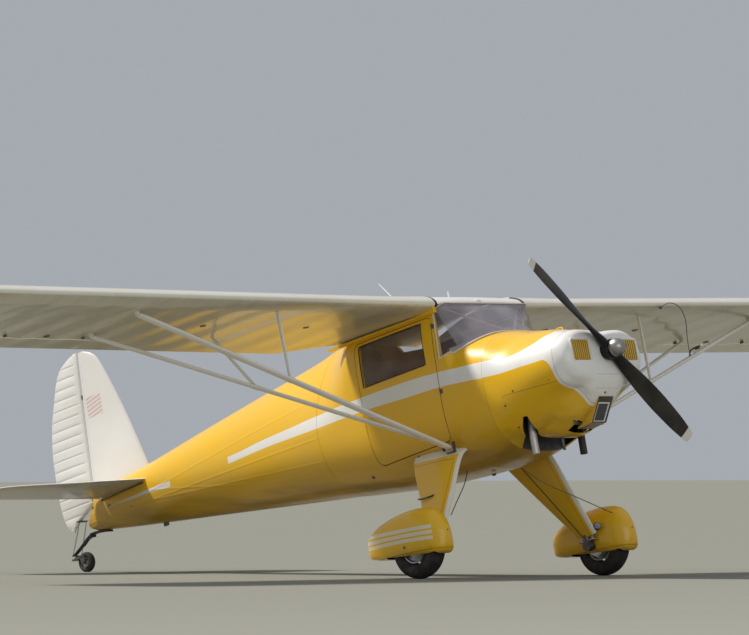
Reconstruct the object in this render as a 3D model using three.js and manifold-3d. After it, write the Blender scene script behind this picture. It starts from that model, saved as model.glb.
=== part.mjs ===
// A parked two-seat light aircraft: high strut-braced wing, fixed main gear in wheel fairings, tail wheel.
// Millimetres. X is the span (+X is the pilot's left), Y runs aft, +Z is up, and the ground is Z = 0.
// Everything on the aircraft is drawn in the airframe's own level-flight frame: its origin is the
// centre of the propeller disc, y runs aft and z up, and the whole is then pitched nose up as it parks.
import * as THREE from "three";
import { mergeVertices } from "three/addons/utils/BufferGeometryUtils.js";
import Module from "manifold-3d";

const wasm = await Module();
wasm.setup();

// Driving dimensions of the parked attitude
const PITCH = THREE.MathUtils.degToRad(14.405); // nose-up angle on the ground
const HUB_HEIGHT = 1649.1; // propeller centre above the ground
const HUB_Y = -2838.7; // propeller centre from the middle of the length
const FIT_GAP = 1; // between pieces that touch
const MOVING_GAP = 7; // round pieces that move

// Wing
const HALF_SPAN = 5335;
const WING_ROOT_X = 462;
const WING_LE = { y: 1180, z: 660 };
const WING_CHORD = 1280;
const WING_THICKNESS = 150;
const INCIDENCE = THREE.MathUtils.degToRad(2);
const DIHEDRAL = THREE.MathUtils.degToRad(0.7);
const AILERON = { x0: 2950, x1: 4760, hingeY: 2200, cove: 24, lean: 78 };

// Fuselage
const SKIN = 14;
const CONE_SKIN = 10;
const FIREWALL_Y = 830;
const SEAM_Y = 170; // nose bowl to cowling
const POST_Y = 1185; // front face of the windscreen posts
const CONE_Y = 2620; // cabin shell to tail cone
const TAIL_Y = 5512; // stern post
const ROOF_Z = 600; // top of the cabin sides, under the wing
const ROOF_CUT = { y0: 1000, y1: 2330 };
const ROOF = { front: 1146, back: 2328, thickness: 12, halfWidth: 456 };
const SILL_Z = 250;
const RING_POINTS = 32;

// Doors
const DOOR = { top: 576, bottom: -340, frontTop: 1242, frontBottom: 1276, rear: 2066, corner: 50 };
const WINDOW = { top: 552, bottom: 245, frontTop: 1350, frontBottom: 1366, rear: 2022, corner: 20 };
const DOOR_WALL = 26;
const DOOR_SLAB = { x0: 250, x1: 700 }; // reach of the cutters that shape the doors, from the centre out
const PANE = { inset: 8, back: 14 }; // the panes' two faces, below the skin
const ABOVE = 900; // higher than any piece that a cutter is used on

// Landing gear
const TRACK = 1934;
const TYRE = { radius: 222, halfWidth: 76, rimRadius: 112 };
const AXLE = { y: 1310, z: -1137, radius: 17 };
const FOOT_X = 802; // where the leg meets the axle
const FOOT = { knuckle: 40, inward: 20, outward: 24, postRadius: 20, postRise: 110 };
const AXLE_PAST_CENTRE = 64;
const HUB_HALF_WIDTH = 50;

// Struts
const STRUT_FOOT = { x: 478, y: 1288, z: -402, rearBy: 34, rearUp: 24, radius: 14 };
const LIFT_STRUT = {
  front: { x: 3200, station: 285, clear: 19, chord: 66, thickness: 30 },
  rear: { x: 3090, station: 900, clear: 16, chord: 50, thickness: 24 },
};
const JURY_FOOT_X = 1888;
const JURY_STRUT = {
  front: { x: 1890, station: 205, clear: 11, chord: 30, thickness: 13 },
  rear: { x: 1890, station: 900, clear: 11, chord: 27, thickness: 12 },
};

// Tail
const TAILPLANE_Z = 262;
const ELEVATOR_HINGE_Y = 5370;
const STAB_REAR_Y = ELEVATOR_HINGE_Y - 14;
const FIN_GAP = 12; // from the fin's rear edge to the rudder's hinge line
const SPAR_Y = [4930, 5320]; // tubes that join the tailplane's halves
const SPAR_RADIUS = 10;
const ELEVATOR_UP = THREE.MathUtils.degToRad(17); // the stick is tied back
const RUDDER_HINGE = { y: 5548, lean: 0.078 }; // at z = 0, and forward per unit of height
const rudderHingeY = (z) => RUDDER_HINGE.y - RUDDER_HINGE.lean * z;

// Propeller
const PROP_RADIUS = 940;
const PROP_HUB = { radius: 74, front: -42, back: 24 };
const PROP_FLANGE = { radius: 44, back: 104 };
const SPINNER_Y = -43;
const BLADE_ANGLE = THREE.MathUtils.degToRad(45.4);

// Tail wheel
const TAIL_WHEEL = { radius: 76, halfWidth: 27, y: 5728, z: -153 };
const TAIL_FORK = { gap: 9, cheek: 6, halfLength: 20, front: 5812, back: 5846, top: -104, bottom: -118 };
const TAIL_PIVOT = { top: [5826, -92], bottom: [5822, -106], radius: 20 };
const TAIL_SPRING = { halfWidth: 19, halfThickness: 8, lean: 5 };

const material = (color, roughness, metalness = 0) =>
  new THREE.MeshStandardMaterial({ color, roughness, metalness });
const YELLOW = material(0xf2b40c, 0.35);
const WHITE = material(0xeceae2, 0.3);
const FABRIC = material(0xe6e1cd, 0.4);
const BLACK = material(0x16181c, 0.4);
const RUBBER = material(0x1a1a1a, 0.85);
const METAL = material(0xb8bbc0, 0.3, 1);
const DARK_STEEL = material(0x2b2c2e, 0.5, 0.6);
const GLASS = material(0xcfd4dc, 0.05);
const TRIM = material(0x6a4b35, 0.8);
const CAST = material(0x77787a, 0.6, 0.7);

const airframe = new THREE.Group();
airframe.position.set(0, HUB_Y, HUB_HEIGHT);
airframe.rotation.x = -PITCH;

// Solids

function solid(geometry) {
  const bare = geometry.index ? geometry.toNonIndexed() : geometry.clone();
  bare.deleteAttribute("normal");
  bare.deleteAttribute("uv");
  const merged = mergeVertices(bare, 1e-3);
  return new wasm.Manifold(
    new wasm.Mesh({
      numProp: 3,
      vertProperties: merged.attributes.position.array,
      triVerts: new Uint32Array(merged.index.array),
    }),
  );
}

function geometryOf(shape) {
  const found = shape.getMesh();
  return new THREE.BufferGeometry()
    .setAttribute("position", new THREE.BufferAttribute(found.vertProperties, 3))
    .setIndex(new THREE.BufferAttribute(found.triVerts, 1));
}

// One named piece of the aircraft, drawn in the airframe's frame.
function piece(name, shape, finish) {
  const mesh = new THREE.Mesh(geometryOf(shape), finish);
  mesh.name = name;
  airframe.add(mesh);
  return mesh;
}

const point = (x, y, z) => new THREE.Vector3(x, y, z);
const union = (shapes) => shapes.reduce((a, b) => a.add(b));
const cutAll = (shape, tools) => tools.reduce((a, b) => a.subtract(b), shape);
// What is left of a cut shape once loose slivers are dropped.
const largest = (shape) => shape.decompose().reduce((a, b) => (a.volume() > b.volume() ? a : b));
const sides = [
  { word: "left", s: 1 },
  { word: "right", s: -1 },
];

// A closed solid through rings of equal length, with a fan over each end.
function loft(rings) {
  const count = rings[0].length;
  const vertices = rings.flat();
  const faces = [];
  for (let i = 0; i + 1 < rings.length; i++)
    for (let j = 0; j < count; j++) {
      const a = i * count + j;
      const b = i * count + ((j + 1) % count);
      faces.push(a, b, b + count, a, b + count, a + count);
    }
  for (const last of [false, true]) {
    const ring = last ? rings.at(-1) : rings[0];
    const first = last ? (rings.length - 1) * count : 0;
    const middle = vertices.length;
    vertices.push(ring.reduce((sum, p) => sum.add(p), point(0, 0, 0)).divideScalar(count));
    for (let j = 0; j < count; j++) {
      const a = first + j;
      const b = first + ((j + 1) % count);
      faces.push(...(last ? [a, b, middle] : [b, a, middle]));
    }
  }
  let volume = 0;
  for (let i = 0; i < faces.length; i += 3) {
    const [a, b, c] = faces.slice(i, i + 3).map((k) => vertices[k]);
    volume += a.dot(new THREE.Vector3().crossVectors(b, c));
  }
  if (volume < 0) faces.reverse();
  const geometry = new THREE.BufferGeometry().setFromPoints(vertices);
  geometry.setIndex(faces);
  return solid(geometry);
}

function box(x0, x1, y0, y1, z0, z1) {
  const made = new THREE.BoxGeometry(x1 - x0, y1 - y0, z1 - z0);
  return solid(made.translate((x0 + x1) / 2, (y0 + y1) / 2, (z0 + z1) / 2));
}

// A round bar from one point to another.
function bar(from, to, radius, steps = 12, endRadius = radius) {
  const along = to.clone().sub(from);
  const made = new THREE.CylinderGeometry(endRadius, radius, along.length(), steps);
  const turn = new THREE.Quaternion().setFromUnitVectors(point(0, 1, 0), along.clone().normalize());
  made.applyQuaternion(turn);
  const middle = from.clone().add(to).multiplyScalar(0.5);
  return solid(made.translate(middle.x, middle.y, middle.z));
}

// A bar of streamline section between two points: chord along y, thickness across.
function strutBar(from, to, chord, thickness) {
  const along = to.clone().sub(from).normalize();
  const across = new THREE.Vector3().crossVectors(along, point(0, 1, 0)).normalize();
  const fore = new THREE.Vector3().crossVectors(across, along).normalize();
  const ringAt = (centre) =>
    [...Array(12).keys()].map((k) => {
      const t = (k / 12) * 2 * Math.PI;
      return centre
        .clone()
        .addScaledVector(fore, (Math.cos(t) * chord) / 2)
        .addScaledVector(across, (Math.sin(t) * thickness) / 2);
    });
  return loft([ringAt(from), ringAt(to)]);
}

// An outline of [y, z] corners, rounded, as a slab between two x values.
function slabX(outline, x0, x1) {
  const shape = new THREE.Shape(outline.map(([y, z]) => new THREE.Vector2(y, z)));
  const made = new THREE.ExtrudeGeometry(shape, { depth: Math.abs(x1 - x0), bevelEnabled: false });
  const place = new THREE.Matrix4().makeBasis(point(0, 1, 0), point(0, 0, 1), point(1, 0, 0));
  place.setPosition(Math.min(x0, x1), 0, 0);
  return solid(made.applyMatrix4(place));
}

// An outline of [x, z] corners as a slab between two y values.
function slabY(outline, y0, y1) {
  const shape = new THREE.Shape(outline.map(([x, z]) => new THREE.Vector2(x, z)));
  const made = new THREE.ExtrudeGeometry(shape, { depth: y1 - y0, bevelEnabled: false });
  const place = new THREE.Matrix4().makeBasis(point(1, 0, 0), point(0, 0, 1), point(0, -1, 0));
  place.setPosition(0, y1, 0);
  return solid(made.applyMatrix4(place));
}

// An outline of [x, y] corners as a slab between two z values.
function slabZ(outline, z0, z1) {
  const shape = new THREE.Shape(outline.map(([x, y]) => new THREE.Vector2(x, y)));
  const made = new THREE.ExtrudeGeometry(shape, { depth: z1 - z0, bevelEnabled: false });
  return solid(made.translate(0, 0, z0));
}

// The corners of a polygon, each cut by a short arc of the given radius.
function rounded(corners, radius, steps = 4) {
  return corners.flatMap(([y, z], i) => {
    const here = new THREE.Vector2(y, z);
    const before = new THREE.Vector2(...corners.at(i - 1));
    const after = new THREE.Vector2(...corners[(i + 1) % corners.length]);
    const from = here.clone().add(before.sub(here).setLength(radius));
    const to = here.clone().add(after.sub(here).setLength(radius));
    const arc = new THREE.QuadraticBezierCurve(from, here, to);
    return arc.getPoints(steps).map((p) => [p.x, p.y]);
  });
}

// A point set on a smooth closed curve through a half section, mirrored about x = 0.
function ringThrough(y, half, count = 48) {
  const other = half
    .slice(1, -1)
    .reverse()
    .map(([x, z]) => [-x, z]);
  const all = [...half, ...other].map(([x, z]) => point(x, y, z));
  const curve = new THREE.CatmullRomCurve3(all, true, "centripetal");
  return [...Array(count).keys()].map((k) => curve.getPoint(k / count));
}

// The fuselage section, an oval whose upper and lower halves have their own squareness.
// Columns: y, half width, top z, z of the widest line, bottom z, upper squareness, lower squareness
const FUSELAGE = [
  [830, 497, 366, -20, -542, 2.3, 2.7],
  [1000, 502, 405, -10, -568, 2.5, 2.7],
  [1188, 504, 448, 0, -576, 2.6, 2.7],
];
const CABIN = [
  [1185, 504, 735, 0, -576, 5.2, 2.7],
  [1500, 506, 745, 10, -556, 5.2, 2.7],
  [2120, 492, 735, 30, -500, 5.0, 2.6],
  [2300, 478, 738, 40, -472, 2.6, 2.5],
  [2450, 466, 736, 50, -448, 1.75, 2.4],
  [2620, 448, 722, 60, -420, 1.5, 2.3],
];
const TAIL_CONE = [
  [2620, 448, 722, 60, -420, 1.5, 2.3],
  [2800, 430, 682, 70, -388, 1.55, 2.3],
  [3050, 402, 640, 80, -350, 1.7, 2.2],
  [3550, 340, 572, 105, -272, 1.9, 2.1],
  [4250, 248, 478, 145, -162, 2.0, 2.0],
  [4870, 165, 396, 175, -66, 2.0, 2.0],
  [5250, 105, 358, 185, -4, 2.0, 2.0],
  [5512, 40, 330, 190, 44, 2.0, 2.0],
];

function oval([y, halfWidth, top, middle, bottom, upper, lower], inset = 0, count = RING_POINTS) {
  return [...Array(count).keys()].map((k) => {
    const t = (k / count) * 2 * Math.PI;
    const [c, s] = [Math.cos(t), Math.sin(t)];
    const power = 2 / (s > 0 ? upper : lower);
    const reach = s > 0 ? top - middle - inset : middle - bottom - inset;
    return point(
      (halfWidth - inset) * Math.sign(c) * Math.abs(c) ** power,
      y,
      middle + reach * Math.sign(s) * Math.abs(s) ** power,
    );
  });
}

const bodyOf = (table, inset = 0) => loft(table.map((row) => oval(row, inset)));

// The same sections run past both ends, to hollow a body right through.
function coreOf(table, inset, past = 40) {
  const shift = (row, dy) => [row[0] + dy, ...row.slice(1)];
  const rows = [shift(table[0], -past), ...table, shift(table.at(-1), past)];
  return loft(rows.map((row) => oval(row, inset)));
}

// Doors: outlines in side view, the front edge leaning forward towards the top
function doorOutline({ top, bottom, frontTop, frontBottom, rear, corner }, grow = 0) {
  const corners = [
    [frontTop - grow, top + grow],
    [frontBottom - grow, bottom - grow],
    [rear + grow, bottom - grow],
    [rear + grow, top + grow],
  ];
  return rounded(corners, corner);
}

const sideSlab = (outline, s) => slabX(outline, s * DOOR_SLAB.x0, s * DOOR_SLAB.x1);

// The deck ahead of the windscreen is cut by the plane that the windscreen's foot lies in.
const SCREEN_FOOT_SLOPE = -0.38;
const screenFootZ = (y) => SILL_Z + SCREEN_FOOT_SLOPE * (y - POST_Y);

function addCabin() {
  const deck = bodyOf(FUSELAGE).subtract(coreOf(FUSELAGE, SKIN));
  const [deckFront, deckRear] = [FIREWALL_Y - 60, 1300];
  const overFoot = [
    [deckFront, screenFootZ(deckFront)],
    [deckRear, screenFootZ(deckRear)],
    [deckRear, ABOVE],
    [deckFront, ABOVE],
  ];
  const scuttle = deck.subtract(slabX(overFoot, -DOOR_SLAB.x1, DOOR_SLAB.x1));
  const firewall = bodyOf([FUSELAGE[0], [FIREWALL_Y + 9, ...FUSELAGE[0].slice(1)]], 4);

  const outer = bodyOf(CABIN);
  const doorways = sides.map(({ s }) => sideSlab(doorOutline(DOOR, MOVING_GAP), s));
  const roofCut = box(-DOOR_SLAB.x1, DOOR_SLAB.x1, ROOF_CUT.y0, ROOF_CUT.y1, ROOF_Z, ABOVE);
  const cabin = cutAll(outer, [coreOf(CABIN, SKIN), roofCut]);
  piece("cabin_shell", cutAll(union([cabin, scuttle, firewall]), doorways), YELLOW);

  const wall = outer.subtract(coreOf(CABIN, DOOR_WALL));
  const pane = coreOf(CABIN, PANE.inset, 0).subtract(coreOf(CABIN, PANE.back));
  for (const { word, s } of sides) {
    const leaf = wall.intersect(sideSlab(doorOutline(DOOR), s));
    const window = sideSlab(doorOutline(WINDOW), s);
    piece(`door_${word}`, leaf.subtract(window), YELLOW);
    const glass = pane.intersect(sideSlab(doorOutline(WINDOW, -FIT_GAP), s));
    piece(`door_window_${word}`, glass, GLASS);
  }
}

// Wing section: station along the chord, upper and lower height, as shares of the thickness
const SECTION = [
  [0, 0, 0],
  [0.015, 0.2, -0.13],
  [0.05, 0.4, -0.2],
  [0.13, 0.64, -0.25],
  [0.28, 0.8, -0.22],
  [0.45, 0.77, -0.16],
  [0.62, 0.61, -0.1],
  [0.8, 0.35, -0.05],
  [1, 0.015, -0.015],
];

function sectionRing(x, leadY, trailY, leadZ, thickness) {
  const chord = trailY - leadY;
  const at = (station, height) =>
    point(
      x,
      leadY + station * chord,
      leadZ - station * chord * Math.sin(INCIDENCE) + height * thickness,
    );
  const upper = SECTION.map(([station, high]) => at(station, high));
  const lower = SECTION.slice(1).map(([station, , low]) => at(station, low));
  return [...upper, ...lower.reverse()];
}

// Wing plan. Columns: x, leading edge y, trailing edge y, thickness
const WING_PLAN = [
  [WING_ROOT_X, 1180, 2190, 1],
  [700, 1180, 2330, 1],
  [960, 1180, 2460, 1],
  [4700, 1180, 2460, 1],
  [4960, 1200, 2440, 0.96],
  [5150, 1260, 2370, 0.82],
  [5270, 1365, 2240, 0.6],
  [HALF_SPAN, 1560, 2010, 0.22],
];

const wingZ = (x) => WING_LE.z + (x - WING_ROOT_X) * Math.tan(DIHEDRAL);
// The height of the wing's underside over a place in plan.
function undersideZ(x, y) {
  const station = (y - WING_LE.y) / WING_CHORD;
  const after = Math.max(1, SECTION.findIndex(([at]) => at >= station));
  const [a, , low] = SECTION[after - 1];
  const [b, , next] = SECTION[after];
  const height = low + ((next - low) * (station - a)) / (b - a);
  return wingZ(x) - (y - WING_LE.y) * Math.sin(INCIDENCE) + height * WING_THICKNESS;
}

function addWings() {
  for (const { word, s } of sides) {
    const whole = loft(
      WING_PLAN.map(([x, lead, trail, thick]) =>
        sectionRing(s * x, lead, trail, wingZ(x), thick * WING_THICKNESS),
      ),
    );
    const { x0, x1, hingeY, cove, lean } = AILERON;
    const [below, aft] = [400, 2700];
    const behind = (y0, grow) => {
      const outline = [[y0, ABOVE], [y0 + lean, below], [aft, below], [aft, ABOVE]];
      return slabX(outline, s * (x0 - grow), s * (x1 + grow));
    };
    piece(`wing_${word}`, whole.subtract(behind(hingeY - cove, MOVING_GAP)), FABRIC);
    piece(`aileron_${word}`, whole.intersect(behind(hingeY, 0)), WHITE);
  }
}

// The roof between the wings, a curved panel over the cabin that carries the wing's upper line.
function addRoof() {
  const { front, back, thickness, halfWidth } = ROOF;
  const over = (inset) =>
    sectionRing(0, front, back, WING_LE.z, WING_THICKNESS)
      .slice(0, SECTION.length)
      .map((p) => [p.y, p.z - inset]);
  const outline = [...over(0), ...over(thickness).reverse()];
  piece("cabin_roof", slabX(outline, -halfWidth, halfWidth), WHITE);
}

// Windscreen: one sheet bent round from post to post, straight along its head.
// Columns: foot x, foot y, head x, head y, head z
const SCREEN = [
  [460, 1174, 455, 1172, 634],
  [450, 1055, 438, 1137, 651],
  [394, 958, 372, 1137, 651],
  [226, 888, 210, 1137, 651],
  [0, 876, 0, 1137, 651],
];

function addWindscreen() {
  const columns = 16;
  const span = [...SCREEN.map(([x, ...rest]) => [-x, ...rest]), ...SCREEN.slice(0, -1).reverse()];
  const through = (points) => new THREE.CatmullRomCurve3(points, false, "centripetal");
  const foot = through(span.map(([x, y]) => point(x, y + 2, screenFootZ(y) + 5)));
  const head = through(span.map(([x, , hx, hy, hz]) => point(Math.sign(x) * hx, hy, hz)));
  const inward = point(0, 5, -4);
  const rings = [...Array(columns + 1).keys()].map((k) => {
    const [low, high] = [foot, head].map((curve) => curve.getPoint(k / columns));
    return [low, high, high.clone().add(inward), low.clone().add(inward)];
  });
  piece("windscreen", loft(rings), GLASS);
}

// Half sections of the nose, from the top centre round to the bottom centre: y, then [x, z] corners.
// Two cheeks stand out beside a chin that slopes aft.
const BOWL_SEAM = [
  [0, 160], [120, 172], [235, 174], [330, 142], [402, 84], [434, 0], [424, -110],
  [375, -192], [290, -226], [225, -242], [165, -292], [110, -348], [0, -354],
];
const BOWL_SECTIONS = [
  [46, [
    [0, 75], [100, 92], [212, 94], [250, 80], [280, 48], [290, -14], [282, -58],
    [252, -86], [206, -98], [152, -102], [108, -102], [70, -100], [0, -98],
  ]],
  [50, [
    [0, 105], [110, 122], [222, 124], [278, 104], [318, 58], [332, -14], [320, -76],
    [280, -118], [224, -138], [166, -146], [120, -148], [78, -148], [0, -148],
  ]],
  [62, [
    [0, 130], [115, 146], [230, 147], [298, 122], [350, 66], [370, -15], [354, -90],
    [304, -145], [238, -172], [176, -184], [130, -194], [84, -200], [0, -202],
  ]],
  [85, [
    [0, 148], [118, 164], [233, 166], [312, 138], [374, 74], [398, -15], [380, -100],
    [324, -164], [248, -196], [184, -212], [140, -234], [92, -249], [0, -252],
  ]],
  [120, [
    [0, 160], [120, 174], [235, 176], [325, 148], [392, 80], [418, -15], [400, -108],
    [340, -178], [258, -214], [190, -243], [146, -280], [98, -303], [0, -308],
  ]],
  [SEAM_Y - FIT_GAP, BOWL_SEAM],
];

// The right half of an oval section, its points spread along it as those of another half section are.
function halfOval(row, like) {
  const lengths = (points) => {
    const steps = points.map((p, i) => (i ? p.distanceTo(points[i - 1]) : 0));
    return steps.map((_, i) => steps.slice(0, i + 1).reduce((a, b) => a + b));
  };
  const fine = oval(row, 0, 256);
  const half = [...fine.slice(0, 65).reverse(), ...fine.slice(192).reverse()];
  const path = new THREE.CatmullRomCurve3(half, false, "centripetal");
  path.arcLengthDivisions = 800;
  const reached = lengths(like.map(([x, z]) => point(x, 0, z)));
  return reached.map((length) => {
    const p = path.getPointAt(length / reached.at(-1));
    return [Math.abs(p.x) < 1 ? 0 : p.x, p.z];
  });
}

const COWL_SECTIONS = [
  [SEAM_Y, BOWL_SEAM],
  [330, [
    [0, 236], [125, 238], [252, 216], [352, 152], [428, 66], [458, -36], [446, -140],
    [402, -220], [332, -282], [258, -340], [190, -404], [110, -448], [0, -462],
  ]],
  [500, [
    [0, 280], [130, 276], [262, 240], [366, 164], [444, 70], [472, -38], [464, -156],
    [426, -258], [364, -336], [284, -408], [200, -466], [105, -506], [0, -520],
  ]],
  [660, [
    [0, 318], [140, 308], [280, 258], [388, 168], [460, 66], [484, -42], [478, -176],
    [444, -290], [384, -378], [314, -434], [232, -468], [120, -486], [0, -490],
  ]],
];
const REARMOST = halfOval(FUSELAGE[0], COWL_SECTIONS.at(-1)[1]);
COWL_SECTIONS.push([FIREWALL_Y - FIT_GAP, REARMOST]);

const NOSE_WALL = 9;
const NOSE_MIDDLE_Z = -100; // the nose's walls are set in towards this height
const CORE_PAST = 20;
const insetHalf = (half, by) =>
  half.map(([x, z]) => {
    const share = 1 - by / Math.hypot(x, z - NOSE_MIDDLE_Z);
    return [x * share, NOSE_MIDDLE_Z + (z - NOSE_MIDDLE_Z) * share];
  });
const ringsOf = (sections) => loft(sections.map(([y, half]) => ringThrough(y, half)));

function addCowling() {
  const outer = ringsOf(COWL_SECTIONS);
  const last = COWL_SECTIONS.length - 1;
  const past = (i) => (i === 0 ? -CORE_PAST : i === last ? CORE_PAST : 0);
  const core = ringsOf(COWL_SECTIONS.map(([y, half], i) => [y + past(i), insetHalf(half, NOSE_WALL)]));
  // The warm air leaves under the engine; the opening's edge runs up into a notch on each side.
  const outlet = [
    [568, -345], [604, -345], [712, -455], [860, -530],
    [860, -660], [655, -660], [648, -476], [596, -446],
  ];
  const ductHole = box(-122, 122, 322, 450, -700, -436); // behind the air scoop
  piece("cowling", largest(cutAll(outer, [core, slabX(outlet, -600, 600), ductHole])), YELLOW);
}

// Cooling openings, each with its upright bars
const GRILLE = { x0: 154, x1: 338, z0: -67, z1: 92, corner: 20, y: 58, depth: 9, rim: 6 };
const GRILLE_SLOTS = { count: 8, width: 14 };
const SHAFT_HOLE_RADIUS = 62;

function grilleOutline(s, inset) {
  const [x0, x1] = [GRILLE.x0 + inset, GRILLE.x1 - inset];
  const [z0, z1] = [GRILLE.z0 + inset, GRILLE.z1 - inset];
  return rounded([[s * x0, z0], [s * x1, z0], [s * x1, z1], [s * x0, z1]], GRILLE.corner);
}

function addNoseBowl() {
  const outer = ringsOf(BOWL_SECTIONS);
  const inner = BOWL_SECTIONS.slice(1, -1).map(([y, half]) => [y + NOSE_WALL, insetHalf(half, NOSE_WALL)]);
  const core = ringsOf([...inner, [SEAM_Y + CORE_PAST, insetHalf(BOWL_SEAM, NOSE_WALL)]]);
  const mouths = sides.map(({ s }) => slabY(grilleOutline(s, 0), 0, SEAM_Y - CORE_PAST));
  const shaftHole = bar(point(0, 0, 0), point(0, SEAM_Y, 0), SHAFT_HOLE_RADIUS, 24);
  piece("nose_bowl", cutAll(outer, [core, ...mouths, shaftHole]), WHITE);

  const [front, back] = [GRILLE.y, GRILLE.y + GRILLE.depth];
  const { count, width } = GRILLE_SLOTS;
  const pitch = (GRILLE.x1 - GRILLE.x0) / count;
  for (const { word, s } of sides) {
    const plate = slabY(grilleOutline(s, FIT_GAP), front, back);
    const [ahead, behind] = [front - FIT_GAP, back + FIT_GAP];
    const inside = slabY(grilleOutline(s, GRILLE.rim), ahead, behind);
    const slots = [...Array(count).keys()].map((k) => {
      const x = s * (GRILLE.x0 + (k + 0.5) * pitch);
      return box(x - width / 2, x + width / 2, ahead, behind, GRILLE.z0, GRILLE.z1).intersect(inside);
    });
    piece(`cooling_grille_${word}`, cutAll(plate, slots), YELLOW);
  }
}

// The carburettor's air scoop under the chin: a box with its front open. Side views and half widths.
const SCOOP = { side: [[122, -316], [238, -480], [380, -492], [380, -380], [220, -316]], halfWidth: 76 };
const SCOOP_MOUTH = { side: [[90, -352], [90, -468], [368, -481], [368, -352]], halfWidth: 62 };

function addIntake() {
  const slab = ({ side, halfWidth }) => slabX(side, -halfWidth, halfWidth);
  const [outer, mouth] = [SCOOP, SCOOP_MOUTH].map(slab);
  const clear = (sections) => ringsOf(sections.map(([y, half]) => [y, insetHalf(half, -FIT_GAP)]));
  const bowl = clear([...BOWL_SECTIONS, [SEAM_Y + FIT_GAP, BOWL_SEAM]]);
  piece("air_intake", largest(cutAll(outer, [mouth, bowl, clear(COWL_SECTIONS)])), BLACK);
}

// Engine, a plain block at its real place: a flat four over its sump, with the crankcase's nose ahead
const ENGINE = { halfWidth: 335, y0: 230, y1: 640, z0: -130, z1: 110 };
const SUMP = { halfWidth: 130, y0: 300, y1: 700, z0: -300, z1: -125 };
const CRANKCASE_NOSE = { y0: 112, y1: 235, radius: 52 };
const EXHAUST = {
  radius: 27,
  way: [[225, 655, -180], [240, 662, -290], [250, 666, -420], [250, 670, -604]],
};

function addPowerplant() {
  const [block, sump] = [ENGINE, SUMP].map(({ halfWidth, y0, y1, z0, z1 }) =>
    box(-halfWidth, halfWidth, y0, y1, z0, z1),
  );
  const { y0, y1, radius } = CRANKCASE_NOSE;
  const nose = bar(point(0, y0, 0), point(0, y1, 0), radius, 20);
  piece("engine_block", union([block, nose, sump]), CAST);
  for (const { word, s } of sides) {
    const path = new THREE.CatmullRomCurve3(EXHAUST.way.map(([x, y, z]) => point(s * x, y, z)));
    const round = new THREE.Shape().absarc(0, 0, EXHAUST.radius, 0, 2 * Math.PI);
    const way = { steps: 6, curveSegments: 6, extrudePath: path, bevelEnabled: false };
    piece(`exhaust_${word}`, solid(new THREE.ExtrudeGeometry(round, way)), METAL);
  }
}

function addPropeller() {
  // Columns: share of radius, chord, thickness, blade angle in degrees
  const blade = [
    [0.04, 80, 76, 55],
    [0.12, 84, 62, 50],
    [0.22, 98, 38, 41],
    [0.4, 128, 24, 30],
    [0.6, 142, 17, 22],
    [0.8, 132, 12, 17],
    [0.94, 104, 9, 14],
    [1, 52, 6, 13],
  ];
  const sectionAt = ([share, chord, thick, angle], turn) => {
    const radial = point(-Math.sin(turn), 0, Math.cos(turn));
    const travel = point(-Math.cos(turn), 0, -Math.sin(turn));
    const pitch = THREE.MathUtils.degToRad(angle);
    const along = travel.multiplyScalar(Math.cos(pitch)).add(point(0, -Math.sin(pitch), 0));
    const across = new THREE.Vector3().crossVectors(along, radial);
    return [...Array(12).keys()].map((k) => {
      const t = (k / 12) * 2 * Math.PI;
      return radial
        .clone()
        .multiplyScalar(share * PROP_RADIUS)
        .addScaledVector(along, (Math.cos(t) * chord) / 2)
        .addScaledVector(across, (Math.sin(t) * thick) / 2);
    });
  };
  const blades = [BLADE_ANGLE, BLADE_ANGLE + Math.PI].map((turn) =>
    loft(blade.map((row) => sectionAt(row, turn))),
  );
  const hub = bar(point(0, PROP_HUB.front, 0), point(0, PROP_HUB.back, 0), PROP_HUB.radius, 28);
  const flange = bar(point(0, 0, 0), point(0, PROP_FLANGE.back, 0), PROP_FLANGE.radius, 20);
  piece("propeller", union([hub, flange, ...blades]), BLACK);

  // Columns: radius, distance behind the dome's back edge
  const dome = [[0, 0], [63, 0], [67, -16], [66, -36], [59, -58], [46, -77], [26, -91], [0, -96]];
  const spinner = new THREE.LatheGeometry(dome.reverse().map(([r, h]) => new THREE.Vector2(r, h)), 28);
  piece("spinner", solid(spinner.translate(0, SPINNER_Y, 0)), METAL);
}

// A strut's upper end, just clear of the underside of the wing.
function underWing({ x, station, clear }, s) {
  const y = WING_LE.y + station;
  return point(s * x, y, undersideZ(x, y) - clear);
}

// Both lift struts of one side and the knuckle that joins their feet, made larger all round by grow.
function liftStruts(s, grow = 0) {
  const foot = point(s * STRUT_FOOT.x, STRUT_FOOT.y, STRUT_FOOT.z);
  const footRear = foot.clone().add(point(0, STRUT_FOOT.rearBy, STRUT_FOOT.rearUp));
  const [topFront, topRear] = [LIFT_STRUT.front, LIFT_STRUT.rear].map((strut) => underWing(strut, s));
  const knuckle = bar(foot, footRear, STRUT_FOOT.radius + grow, 12);
  const between = (from, to, { chord, thickness }) =>
    strutBar(from, to, chord + 2 * grow, thickness + 2 * grow);
  const front = between(foot, topFront, LIFT_STRUT.front);
  const rear = between(footRear, topRear, LIFT_STRUT.rear);
  return { foot, footRear, topFront, topRear, shape: union([front, rear, knuckle]) };
}

function addStruts() {
  for (const { word, s } of sides) {
    const { foot, footRear, topFront, topRear, shape } = liftStruts(s);
    const jury = (strut, from, to) => {
      const share = (JURY_FOOT_X - Math.abs(from.x)) / (Math.abs(to.x) - Math.abs(from.x));
      return strutBar(from.clone().lerp(to, share), underWing(strut, s), strut.chord, strut.thickness);
    };
    const front = jury(JURY_STRUT.front, foot, topFront);
    const rear = jury(JURY_STRUT.rear, footRear, topRear);
    piece(`lift_struts_${word}`, union([shape, front, rear]), FABRIC);
  }
}

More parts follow.
